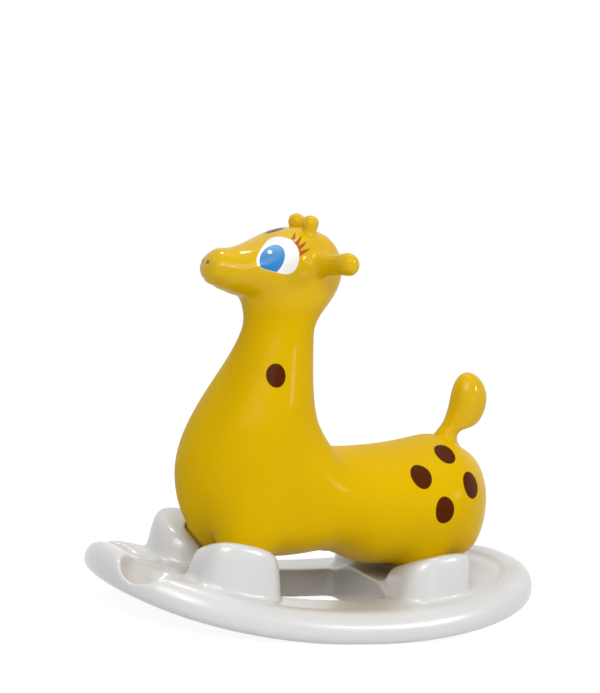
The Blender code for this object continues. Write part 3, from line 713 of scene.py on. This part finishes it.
def make_bridge(front, rear, half_width, low, high):
    """A bar across the base whose top slopes down to the side rails at both ends."""
    bm = bmesh.new()
    outline = (
        (-1.0, 0.0),
        (1.0, 0.0),
        (1.0, BRIDGE_END_RISE),
        (BRIDGE_LEVEL, 1.0),
        (-BRIDGE_LEVEL, 1.0),
        (-1.0, BRIDGE_END_RISE),
    )
    loft(bm, [[(x, half_width * y, low + (high - low) * z) for y, z in outline] for x in (front, rear)])
    return object_from(bm, "bridge")


def make_cup(centre_x, length, side, window_way, peak):
    """A raised cup for one leg. Its top slopes down to the window and to the middle of the base."""
    half_length = length / 2
    half_width = (CUP_OUTER_Y - CUP_INNER_Y) / 2
    centre_y = (CUP_OUTER_Y + CUP_INNER_Y) / 2
    outline = superellipse(half_length, half_width, CUP_SQUARENESS, CUP_POINTS)
    rings = []
    for scale, share in (
        (1.00, 0.0),
        (0.985, 0.15),
        (0.925, 0.50),
        (0.88, 0.73),
        (0.84, 0.85),
        (0.79, 0.93),
        (0.72, 0.975),
        (0.62, 0.995),
        (0.48, 1.0),
        (0.25, 1.0),
    ):
        ring = []
        for x, y in outline:
            x, y = x * scale, y * scale
            to_window = (x * window_way / half_length + 1) / 2
            to_middle = (1 - y / half_width) / 2
            top = peak - CUP_WINDOW_DROP * to_window**2 - CUP_INNER_DROP * to_middle
            ring.append((centre_x + x, side * (centre_y + y), CUP_FOOT + (top - CUP_FOOT) * share))
        rings.append(ring)
    bm = bmesh.new()
    loft(bm, rings)
    return object_from(bm, "cup")


def make_window():
    half_length = (WINDOW_REAR_X - WINDOW_FRONT_X) / 2
    centre_x = (WINDOW_REAR_X + WINDOW_FRONT_X) / 2
    half_width = WINDOW_WIDTH / 2
    outline = []
    for corner in range(4):
        start = math.pi / 2 * corner
        way_x = 1 if corner in (0, 3) else -1
        way_y = 1 if corner in (0, 1) else -1
        for step in range(CORNER_STEPS):
            angle = start + math.pi / 2 * step / (CORNER_STEPS - 1)
            x = way_x * (half_length - WINDOW_CORNER) + WINDOW_CORNER * math.cos(angle)
            y = way_y * (half_width - WINDOW_CORNER) + WINDOW_CORNER * math.sin(angle)
            outline.append((centre_x + x, y))
    bm = bmesh.new()
    loft(bm, [[(x, y, z) for x, y in outline] for z in (-BELOW, ABOVE)])
    return object_from(bm, "window")


def make_scoop(side):
    """A long shallow hollow across the front of the rim."""
    bm = bmesh.new()
    bmesh.ops.create_uvsphere(bm, u_segments=ROUND_POINTS, v_segments=ROUND_POINTS // 2, radius=1.0)
    turn = math.radians(SCOOP_TURN) * side
    crest = crest_height(SCOOP_X)
    for vertex in bm.verts:
        x, y, z = vertex.co
        x, y, z = x * SCOOP_LENGTH / 2, y * SCOOP_WIDTH / 2, z * SCOOP_DEPTH
        across = x * math.cos(turn) - y * math.sin(turn)
        along = x * math.sin(turn) + y * math.cos(turn)
        vertex.co = (SCOOP_X + across, side * SCOOP_Y + along, crest + z)
    return object_from(bm, "scoop")


def leg_space(skin):
    """The lower part of the skin grown by the clearance of the cups."""
    bm = bmesh.new()
    bm.from_mesh(skin.data)
    bm.normal_update()
    for vertex in bm.verts:
        flat = Vector((vertex.normal.x, vertex.normal.y, 0.0)) * CUP_CLEARANCE
        vertex.co += flat + Vector((0.0, 0.0, vertex.normal.z * SEAT_GAP))
    geometry = bm.verts[:] + bm.edges[:] + bm.faces[:]
    up = Vector((0.0, 0.0, 1.0))
    cut = bmesh.ops.bisect_plane(bm, geom=geometry, plane_co=up * CUTTER_TOP, plane_no=up, clear_outer=True)
    edges = [item for item in cut["geom_cut"] if isinstance(item, bmesh.types.BMEdge)]
    bmesh.ops.edgeloop_fill(bm, edges=edges)
    return object_from(bm, "leg_space")


def build_base(skin):
    """The moulded rocker base, remeshed and softened so that every inner corner has its moulded fillet."""
    bm = bmesh.new()
    rings = [base_ring(0.0, 0.0, scale=scale) for scale in (0.20, 0.45, 0.70, 0.88)]
    for angle in range(0, 75, 15):
        turn = math.radians(angle)
        rings.append(base_ring(HEEL_ROUNDING * (1 - math.sin(turn)), WIDEST_SHARE * (1 - math.cos(turn))))
    for angle in range(0, 99, 9):
        turn = math.radians(angle)
        share = WIDEST_SHARE + (1 - WIDEST_SHARE) * math.sin(turn)
        rings.append(base_ring(CREST_INSET * (1 - math.cos(turn)), share))
    rings.append(base_ring(RIM_WIDTH - DECK_STEP, 1.0))
    for scale in (1.0, 0.90, 0.80, 0.70, 0.60, 0.50, 0.40, 0.30, 0.20):
        rings.append(base_ring(RIM_WIDTH, 1.0, sunk=1.0, scale=scale))
    loft(bm, rings)
    base = object_from(bm, "base_shell")
    bridge_half = (CUP_OUTER_Y + CUP_INNER_Y) / 2 + BRIDGE_REACH
    for centre_x, length, window_way, window_x, peak in (
        (LEG_FRONT_X + CUP_FRONT_SHIFT, CUP_FRONT_LENGTH, 1, WINDOW_FRONT_X, CUP_FRONT_PEAK),
        (LEG_REAR_X + CUP_REAR_SHIFT, CUP_REAR_LENGTH, -1, WINDOW_REAR_X, CUP_REAR_PEAK),
    ):
        reach = sorted((centre_x - window_way * length / 2, window_x + window_way * BRIDGE_OVERHANG))
        combine(base, make_bridge(*reach, bridge_half, CUP_FOOT, BRIDGE_HEIGHT), "UNION")
        for side in (-1, 1):
            combine(base, make_cup(centre_x, length, side, window_way, peak), "UNION")
    for side in (-1, 1):
        combine(base, make_scoop(side), "DIFFERENCE")
    combine(base, make_window(), "DIFFERENCE")
    combine(base, leg_space(skin), "DIFFERENCE")
    remesh = base.modifiers.new("Remesh", "REMESH")
    remesh.mode = "VOXEL"
    remesh.voxel_size = BASE_VOXEL
    soften = base.modifiers.new("Soften", "SMOOTH")
    soften.factor = 0.5
    soften.iterations = BASE_SOFTENING
    freeze(base)
    soften_where(base, scoop_lip_share, SCOOP_SOFTENING)
    return base


def scoop_lip_share(x, y, z):
    """How far a point of the base belongs to the lips of the foot scoops."""
    away = math.hypot(x - SCOOP_X, abs(y) - SCOOP_Y) / SCOOP_LIP_REACH
    low = (z - SCOOP_LIP_LOW) / SCOOP_LIP_FADE
    return min(1.0, max(0.0, 2.0 * (1.0 - away))) * min(1.0, max(0.0, low))


# Shader helpers

class Signal:
    """One output of a shader tree. Sums on it add the Math nodes that they need."""

    def __init__(self, finish, socket):
        self.finish = finish
        self.socket = socket

    def math(self, operation, *values):
        return self.finish.node("ShaderNodeMath", {"operation": operation}, dict(enumerate(values)))

    def __add__(self, other):
        return self.math("ADD", self, other)

    __radd__ = __add__

    def __sub__(self, other):
        return self.math("SUBTRACT", self, other)

    def __rsub__(self, other):
        return self.math("SUBTRACT", other, self)

    def __mul__(self, other):
        return self.math("MULTIPLY", self, other)

    __rmul__ = __mul__

    def __truediv__(self, other):
        return self.math("DIVIDE", self, other)

    def __pow__(self, other):
        return self.math("POWER", self, other)

    def __abs__(self):
        return self.math("ABSOLUTE", self)

    def fraction(self):
        return self.math("FRACT", self)

    def larger(self, other, blend=0.0):
        """The larger of two values, with a rounded corner where they meet."""
        return self.math("SMOOTH_MAX", self, other, blend)

    def below(self, edge, softness):
        """1 where the value is below the edge and 0 above it, over a short soft step."""
        values = {0: self, 1: edge - softness / 2, 2: edge + softness / 2, 3: 1.0, 4: 0.0}
        return self.finish.node("ShaderNodeMapRange", {"interpolation_type": "SMOOTHSTEP"}, values)


class Finish:
    """A material with one Principled shader, built up from values, vectors and colours."""

    def __init__(self, name, **settings):
        self.material = bpy.data.materials.new(name)
        self.material.use_nodes = True
        self.tree = self.material.node_tree
        self.shader = self.tree.nodes["Principled BSDF"]
        for socket, value in settings.items():
            self.set(socket.replace("_", " ").title().replace("Ior", "IOR"), value)

    def set(self, socket, value):
        self.feed(self.shader.inputs[socket], value)

    def feed(self, socket, value):
        if isinstance(value, Signal):
            self.tree.links.new(value.socket, socket)
        elif socket.type == "RGBA" and len(value) == 3:
            socket.default_value = (*value, 1.0)
        else:
            socket.default_value = value

    def node(self, kind, settings, values, output=0):
        """A node of this kind. Settings go in first, then the values or links of its sockets."""
        node = self.tree.nodes.new(kind)
        for name, value in settings.items():
            setattr(node, name, value)
        for name, value in values.items():
            self.feed(node.inputs[name], value)
        return Signal(self, node.outputs[output])

    def mix(self, factor, first, second):
        """The first colour where the factor is 0 and the second where it is 1."""
        node = self.tree.nodes.new("ShaderNodeMix")
        node.data_type = "RGBA"
        sockets = {socket.identifier: socket for socket in node.inputs}
        self.feed(sockets["Factor_Float"], factor)
        self.feed(sockets["A_Color"], first)
        self.feed(sockets["B_Color"], second)
        return Signal(self, next(socket for socket in node.outputs if socket.identifier == "Result_Color"))

    def vector(self, operation, first, second):
        return self.node("ShaderNodeVectorMath", {"operation": operation}, {0: first, 1: second})

    def along(self, place, direction):
        """How far a place lies in a direction."""
        settings = {"operation": "DOT_PRODUCT"}
        return self.node("ShaderNodeVectorMath", settings, {0: place, 1: direction}, "Value")

    def reach(self, place, centre, radii):
        """Distance from a centre, in shares of a radius for each axis."""
        scale = tuple(1 / radius for radius in radii)
        scaled = self.vector("MULTIPLY", self.vector("SUBTRACT", place, centre), scale)
        return self.node("ShaderNodeVectorMath", {"operation": "LENGTH"}, {0: scaled}, "Value")

    def noise(self, place, scale, detail=2.0):
        values = {"Vector": place, "Scale": scale, "Detail": detail}
        return self.node("ShaderNodeTexNoise", {}, values)

    def bump(self, height, distance, strength=1.0):
        values = {"Height": height, "Distance": distance, "Strength": strength}
        self.set("Normal", self.node("ShaderNodeBump", {}, values))


# Colours, as linear values

YELLOW = (0.690, 0.434, 0.0)
DEEP_YELLOW = (0.652, 0.398, 0.0)
SHEEN = (1.0, 0.78, 0.15)
BROWN = (0.070, 0.011, 0.001)
EYE_WHITE = (0.86, 0.86, 0.87)
EYE_SHADE = (0.76, 0.77, 0.79)
IRIS_TOP = (0.24, 0.46, 0.70)
IRIS_LOW = (0.018, 0.21, 0.53)
IRIS_RIM = (0.02, 0.12, 0.31)
LASH_ROOT = (0.42, 0.10, 0.012)
LASH_TIP = (0.26, 0.07, 0.012)
NOSTRIL = (0.09, 0.15, 0.22)
PEARL = (0.665, 0.665, 0.665)
PEARL_SHADE = (0.63, 0.625, 0.62)
SPECK = (0.38, 0.36, 0.33)
PLUG_PALE = (0.74, 0.73, 0.70)
PLUG_SHADE = (0.66, 0.65, 0.62)

PRINT_SOFTNESS = 0.0006
SPOT_WOBBLE = 0.10

FULL_SHINE = 0.36
WORN_SHINE = 0.04
HEAD_SHINE_HEIGHT = 0.475
RUMP_SHINE_X = 0.205
SHINE_FADE = 0.05

# Spots on both sides, and on the middle line: centre and radii
SIDE_SPOTS = (
    ((0.169, -0.064, 0.269), (0.0150, 0.0235, 0.0235)),
    ((0.116, -0.092, 0.237), (0.0165, 0.0225, 0.0225)),
    ((0.198, -0.103, 0.228), (0.0155, 0.0220, 0.0220)),
    ((0.148, -0.120, 0.191), (0.0160, 0.0205, 0.0205)),
    ((-0.133, -0.062, 0.371), (0.0150, 0.0190, 0.0190)),
)
MIDDLE_SPOTS = (
    ((-0.131, 0.0, 0.583), (0.0160, 0.0115, 0.0150)),
    ((-0.052, 0.0, 0.582), (0.0150, 0.0150, 0.0150)),
)

# The eye is drawn in a plane: its middle, and the directions to the rear, up and out
EYE_PLACE = Vector((-0.1426, -0.0478, 0.5471))
EYE_OUT = Vector((-0.232, -0.845, 0.482)).normalized()
EYE_REAR = (Vector((1.0, 0.0, 0.0)) - EYE_OUT * EYE_OUT.x).normalized()
EYE_UP = EYE_OUT.cross(EYE_REAR)
EYE_RADIUS = 0.0342
EYE_CENTRE = (-0.0040, -0.0005)
EYE_ROUNDING = 0.016
LID_NORMAL = (-0.140, -0.990)
LID_REACH = 0.0268
BROW_NORMAL = (-0.827, 0.562)
BROW_REACH = 0.0275
IRIS_CENTRE = (-0.0116, -0.0067)
IRIS_LONG = 0.0240
IRIS_SHORT = 0.0172
IRIS_TILT = 59.5
IRIS_INSET = 0.0004
IRIS_TONE_CURVE = 3.0
IRIS_RIM_START = 0.97
IRIS_RIM_FADE = 0.12
IRIS_RIM_STRENGTH = 0.65
EYE_SHADE_START = 0.022
EYE_SHADE_FADE = 0.030
GLINT_CENTRE = (-0.0143, 0.0034)
GLINT_RADIUS = 0.0033
LASH_COUNT = 4
LASH_START = 46.0
LASH_END = -3.0
LASH_LENGTH = 0.0205
LASH_BAND = 0.0016
LASH_LEAN = 5.0
LASH_TAPER = 1.45
LASH_EDGE = 0.8
NOSTRIL_PLACE = (-0.2375, -0.0100, 0.5268)
NOSTRIL_RADII = (0.006, 0.0042, 0.0031)


def in_plane(finish, place, origin, rear, up):
    offset = finish.vector("SUBTRACT", place, origin)
    return finish.along(offset, rear), finish.along(offset, up)


def add_eye(finish, place, colour):
    """Paints the eye white, iris, glint and lashes over a colour, on both sides of the head."""
    across, high = in_plane(finish, place, EYE_PLACE, EYE_REAR, EYE_UP)
    from_middle = across - EYE_CENTRE[0]
    above_middle = high - EYE_CENTRE[1]
    radius = (from_middle**2.0 + above_middle**2.0) ** 0.5
    lid = across * LID_NORMAL[0] + high * LID_NORMAL[1] + (EYE_RADIUS - LID_REACH)
    brow = across * BROW_NORMAL[0] + high * BROW_NORMAL[1] + (EYE_RADIUS - BROW_REACH)
    outline = radius.larger(lid, EYE_ROUNDING).larger(brow, EYE_ROUNDING)
    white = outline.below(EYE_RADIUS, PRINT_SOFTNESS)

    angle = above_middle.math("ARCTAN2", above_middle, from_middle) * math.degrees(1.0)
    twisted = angle - (radius - EYE_RADIUS) * (LASH_LEAN / LASH_LENGTH)
    step = (LASH_START - LASH_END) / LASH_COUNT
    share = ((LASH_START - twisted) / step).fraction()
    tip = LASH_LENGTH * (1.0 - share) ** LASH_TAPER
    lash = radius.below(tip + (EYE_RADIUS + LASH_BAND), PRINT_SOFTNESS)
    lash = lash * (0.0 - twisted).below(-LASH_END, LASH_EDGE) * twisted.below(LASH_START, LASH_EDGE)
    fade = (radius - EYE_RADIUS) / LASH_LENGTH
    colour = finish.mix(lash, colour, finish.mix(fade, LASH_ROOT, LASH_TIP))
    shaded = 1.0 - high.below(EYE_SHADE_START, EYE_SHADE_FADE)
    colour = finish.mix(white, colour, finish.mix(shaded, EYE_WHITE, EYE_SHADE))

    turn = math.radians(IRIS_TILT)
    iris_across = across - IRIS_CENTRE[0]
    iris_high = high - IRIS_CENTRE[1]
    long_way = (iris_across * math.cos(turn) + iris_high * math.sin(turn)) / IRIS_LONG
    short_way = (iris_high * math.cos(turn) - iris_across * math.sin(turn)) / IRIS_SHORT
    iris_reach = (long_way**2.0 + short_way**2.0) ** 0.5
    iris = iris_reach.below(1.0, PRINT_SOFTNESS / IRIS_SHORT)
    iris = iris * outline.below(EYE_RADIUS - IRIS_INSET, PRINT_SOFTNESS)
    tone = ((high - (IRIS_CENTRE[1] - IRIS_LONG)) / (2 * IRIS_LONG)) ** IRIS_TONE_CURVE
    iris_colour = finish.mix(tone, IRIS_LOW, IRIS_TOP)
    rim = 1.0 - iris_reach.below(IRIS_RIM_START, IRIS_RIM_FADE)
    iris_colour = finish.mix(rim * IRIS_RIM_STRENGTH, iris_colour, IRIS_RIM)
    colour = finish.mix(iris, colour, iris_colour)

    glint = ((across - GLINT_CENTRE[0]) ** 2.0 + (high - GLINT_CENTRE[1]) ** 2.0) ** 0.5
    return finish.mix(glint.below(GLINT_RADIUS, PRINT_SOFTNESS), colour, EYE_WHITE)


def yellow_vinyl():
    """Glossy soft vinyl with its printed spots, eyes and nostrils. Prints are drawn by each point's place at
    rest.
    """
    finish = Finish("yellow_vinyl", specular_ior_level=0.06, coat_roughness=0.05)
    finish.set("Specular Tint", SHEEN)
    rest = finish.node("ShaderNodeAttribute", {"attribute_name": "rest_place"}, {}, "Vector")
    axes = finish.tree.nodes.new("ShaderNodeSeparateXYZ")
    finish.feed(axes.inputs[0], rest)
    x, y, z = (Signal(finish, axes.outputs[n]) for n in range(3))
    folded = finish.node("ShaderNodeCombineXYZ", {}, {0: x, 1: abs(y) * -1.0, 2: z})

    cloudy = finish.noise(rest, 9.0, 3.0)
    colour = finish.mix(cloudy, YELLOW, DEEP_YELLOW)
    spots = None
    for place, group in ((folded, SIDE_SPOTS), (rest, MIDDLE_SPOTS)):
        for centre, radii in group:
            reach = finish.reach(place, centre, radii)
            wobble = reach + (finish.noise(rest, 45.0, 0.0) - 0.5) * SPOT_WOBBLE
            spot = wobble.below(1.0, PRINT_SOFTNESS / min(radii))
            spots = spot if spots is None else spots.math("MAXIMUM", spots, spot)
    colour = finish.mix(spots, colour, BROWN)
    colour = add_eye(finish, folded, colour)
    nostril = finish.reach(folded, NOSTRIL_PLACE, NOSTRIL_RADII).below(1.0, 0.12)
    colour = finish.mix(nostril, colour, NOSTRIL)
    finish.set("Base Color", colour)

    # Use dulls the neck, saddle and flanks, so the shine is full only on the head, the tail and the rump
    head = 1.0 - z.below(HEAD_SHINE_HEIGHT, SHINE_FADE)
    rump = 1.0 - x.below(RUMP_SHINE_X, SHINE_FADE)
    shine = head.larger(rump)
    smears = finish.noise(rest, 26.0, 4.0)
    finish.set("Coat Weight", shine * (FULL_SHINE - WORN_SHINE) + WORN_SHINE)
    finish.set("Roughness", 0.42 - shine * 0.12 + smears * 0.10)
    grain = finish.noise(rest, 420.0, 2.0)
    finish.bump(grain, 0.00012, 0.35)
    return finish.material


def pearl_plastic():
    """Pearly blow-moulded plastic with soft clouds of tone and a few dark specks in it."""
    finish = Finish("pearl_plastic", coat_weight=0.75, coat_roughness=0.18)
    place = finish.node("ShaderNodeTexCoord", {}, {}, "Object")
    cloudy = finish.noise(place, 7.0, 4.0)
    colour = finish.mix(cloudy, PEARL, PEARL_SHADE)
    cells = finish.node("ShaderNodeTexVoronoi", {"feature": "F1"}, {"Vector": place, "Scale": 34.0})
    speck = cells.below(0.030, 0.02) * (1.0 - finish.noise(place, 13.0, 0.0).below(0.56, 0.04))
    colour = finish.mix(speck * 0.7, colour, SPECK)
    finish.set("Base Color", colour)
    finish.set("Roughness", 0.28 + finish.noise(place, 18.0, 4.0) * 0.14)
    finish.bump(finish.noise(place, 95.0, 3.0), 0.0002, 0.30)
    return finish.material


def plug_vinyl():
    """Pale soft vinyl of the valve plug, slightly scuffed."""
    finish = Finish("plug_vinyl")
    place = finish.node("ShaderNodeTexCoord", {}, {}, "Object")
    finish.set("Base Color", finish.mix(finish.noise(place, 160.0, 3.0), PLUG_PALE, PLUG_SHADE))
    finish.set("Roughness", 0.34 + finish.noise(place, 240.0, 3.0) * 0.16)
    finish.bump(finish.noise(place, 700.0, 2.0), 0.0001, 0.3)
    return finish.material


# Pieces

def keep_rest_place(thing):
    """Stores each point's place at rest, which the prints are drawn by."""
    mesh = thing.data
    store = mesh.attributes.new("rest_place", "FLOAT_VECTOR", "POINT")
    places = np.empty(len(mesh.vertices) * 3, np.float32)
    mesh.vertices.foreach_get("co", places)
    store.data.foreach_set("vector", places)


def add_pieces():
    skin = build_skin()
    base = build_base(skin)
    skin.data.materials.clear()
    skin.data.materials.append(yellow_vinyl())
    base.data.materials.clear()
    base.data.materials.append(pearl_plastic())
    skin.data.shade_smooth()
    base.data.shade_smooth()
    keep_rest_place(skin)
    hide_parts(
        "leg_front_left", "leg_front_right", "leg_rear_left", "leg_rear_right", "belly_band", "torso",
        "neck", "head", "ear_left", "ear_right", "horn_left", "horn_right", "tail",
    )
    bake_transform(skin)
    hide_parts("rocker_base")
    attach(base, "base")
    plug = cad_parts["valve_plug"]
    plug.material_slots[0].material = plug_vinyl()


# Floor, lamps, backdrop and camera

WHITE = (1.0, 1.0, 1.0, 1.0)
FLOOR_SIZE = 30.0
FLOOR_COLOUR = (0.65, 0.65, 0.65, 1.0)
FLOOR_ROUGHNESS = 0.9
SHADOW_SHARE = 0.34
FLOOR_GLOW = 1.38
SKY_LIGHT = 0.36
LAMP_AIM = (0.0, 0.0, 0.3)

# Each lamp: name, place, width, height and power in watts
LAMPS = (
    ("front_lamp", (-1.4, -2.3, 2.1), 2.4, 1.6, 46.0),
    ("window_lamp", (1.43, -1.86, 1.34), 0.44, 0.44, 15.0),
    ("left_lamp", (-0.98, -1.94, 1.42), 0.30, 0.30, 4.0),
    ("low_lamp", (0.66, -2.60, 0.33), 0.40, 0.30, 0.9),
    ("top_lamp", (-0.41, 0.85, 2.89), 0.38, 0.30, 14.0),
    ("sky_lamp", (0.36, 0.05, 3.06), 0.50, 0.50, 12.0),
)
CAMERA_PLACE = (-1.2652, -2.4528, 0.656)
CAMERA_RIGHT = (0.8972, -0.4265, 0.1145)
CAMERA_UP = (-0.0644, 0.13, 0.9894)
CAMERA_BACK = (-0.4369, -0.8951, 0.0891)
CAMERA_LENS = 94.19
SENSOR_WIDTH = 36.0


def seen_directly(tree):
    """1 for rays from the camera, in mirrors and through glass, and 0 for the light that falls on things."""
    path = tree.nodes.new("ShaderNodeLightPath")
    most = path.outputs["Is Camera Ray"]
    for name in ("Is Glossy Ray", "Is Transmission Ray"):
        larger = tree.nodes.new("ShaderNodeMath")
        larger.operation = "MAXIMUM"
        tree.links.new(most, larger.inputs[0])
        tree.links.new(path.outputs[name], larger.inputs[1])
        most = larger.outputs[0]
    return most


def add_floor():
    bm = bmesh.new()
    bmesh.ops.create_grid(bm, x_segments=1, y_segments=1, size=FLOOR_SIZE / 2)
    floor = object_from(bm, "floor")
    material = bpy.data.materials.new("floor_white")
    material.use_nodes = True
    tree = material.node_tree
    matte = tree.nodes["Principled BSDF"]
    matte.inputs["Base Color"].default_value = FLOOR_COLOUR
    matte.inputs["Roughness"].default_value = FLOOR_ROUGHNESS
    glow = tree.nodes.new("ShaderNodeEmission")
    glow.inputs["Color"].default_value = WHITE
    glow.inputs["Strength"].default_value = FLOOR_GLOW
    share = tree.nodes.new("ShaderNodeMath")
    share.operation = "MULTIPLY"
    tree.links.new(seen_directly(tree), share.inputs[0])
    share.inputs[1].default_value = 1.0 - SHADOW_SHARE
    mix = tree.nodes.new("ShaderNodeMixShader")
    tree.links.new(share.outputs[0], mix.inputs[0])
    tree.links.new(matte.outputs[0], mix.inputs[1])
    tree.links.new(glow.outputs[0], mix.inputs[2])
    tree.links.new(mix.outputs[0], tree.nodes["Material Output"].inputs["Surface"])
    floor.data.materials.append(material)


def add_world():
    world = bpy.data.worlds.new("studio")
    bpy.context.scene.world = world
    world.use_nodes = True
    tree = world.node_tree
    light = tree.nodes["Background"]
    light.inputs["Color"].default_value = WHITE
    light.inputs["Strength"].default_value = SKY_LIGHT
    white = tree.nodes.new("ShaderNodeBackground")
    white.inputs["Color"].default_value = WHITE
    white.inputs["Strength"].default_value = 1.0
    mix = tree.nodes.new("ShaderNodeMixShader")
    tree.links.new(seen_directly(tree), mix.inputs[0])
    tree.links.new(light.outputs[0], mix.inputs[1])
    tree.links.new(white.outputs[0], mix.inputs[2])
    tree.links.new(mix.outputs[0], tree.nodes["World Output"].inputs["Surface"])


def add_lamp(name, place, width, height, power):
    data = bpy.data.lights.new(name, "AREA")
    data.shape = "RECTANGLE"
    data.size = width
    data.size_y = height
    data.energy = power
    lamp = bpy.data.objects.new(name, data)
    lamp.location = place
    lamp.visible_camera = False
    lamp.rotation_mode = "QUATERNION"
    lamp.rotation_quaternion = (Vector(LAMP_AIM) - Vector(place)).to_track_quat("-Z", "Y")
    bpy.context.scene.collection.objects.link(lamp)


def add_camera():
    data = bpy.data.cameras.new("camera")
    data.lens = CAMERA_LENS
    data.sensor_width = SENSOR_WIDTH
    camera = bpy.data.objects.new("camera", data)
    columns = Matrix((CAMERA_RIGHT, CAMERA_UP, CAMERA_BACK)).transposed().to_4x4()
    camera.matrix_world = Matrix.Translation(CAMERA_PLACE) @ columns
    bpy.context.scene.collection.objects.link(camera)
    bpy.context.scene.camera = camera


add_camera()
add_pieces()
add_floor()
add_world()
for lamp in LAMPS:
    add_lamp(*lamp)
bpy.context.scene.view_settings.view_transform = "Standard"
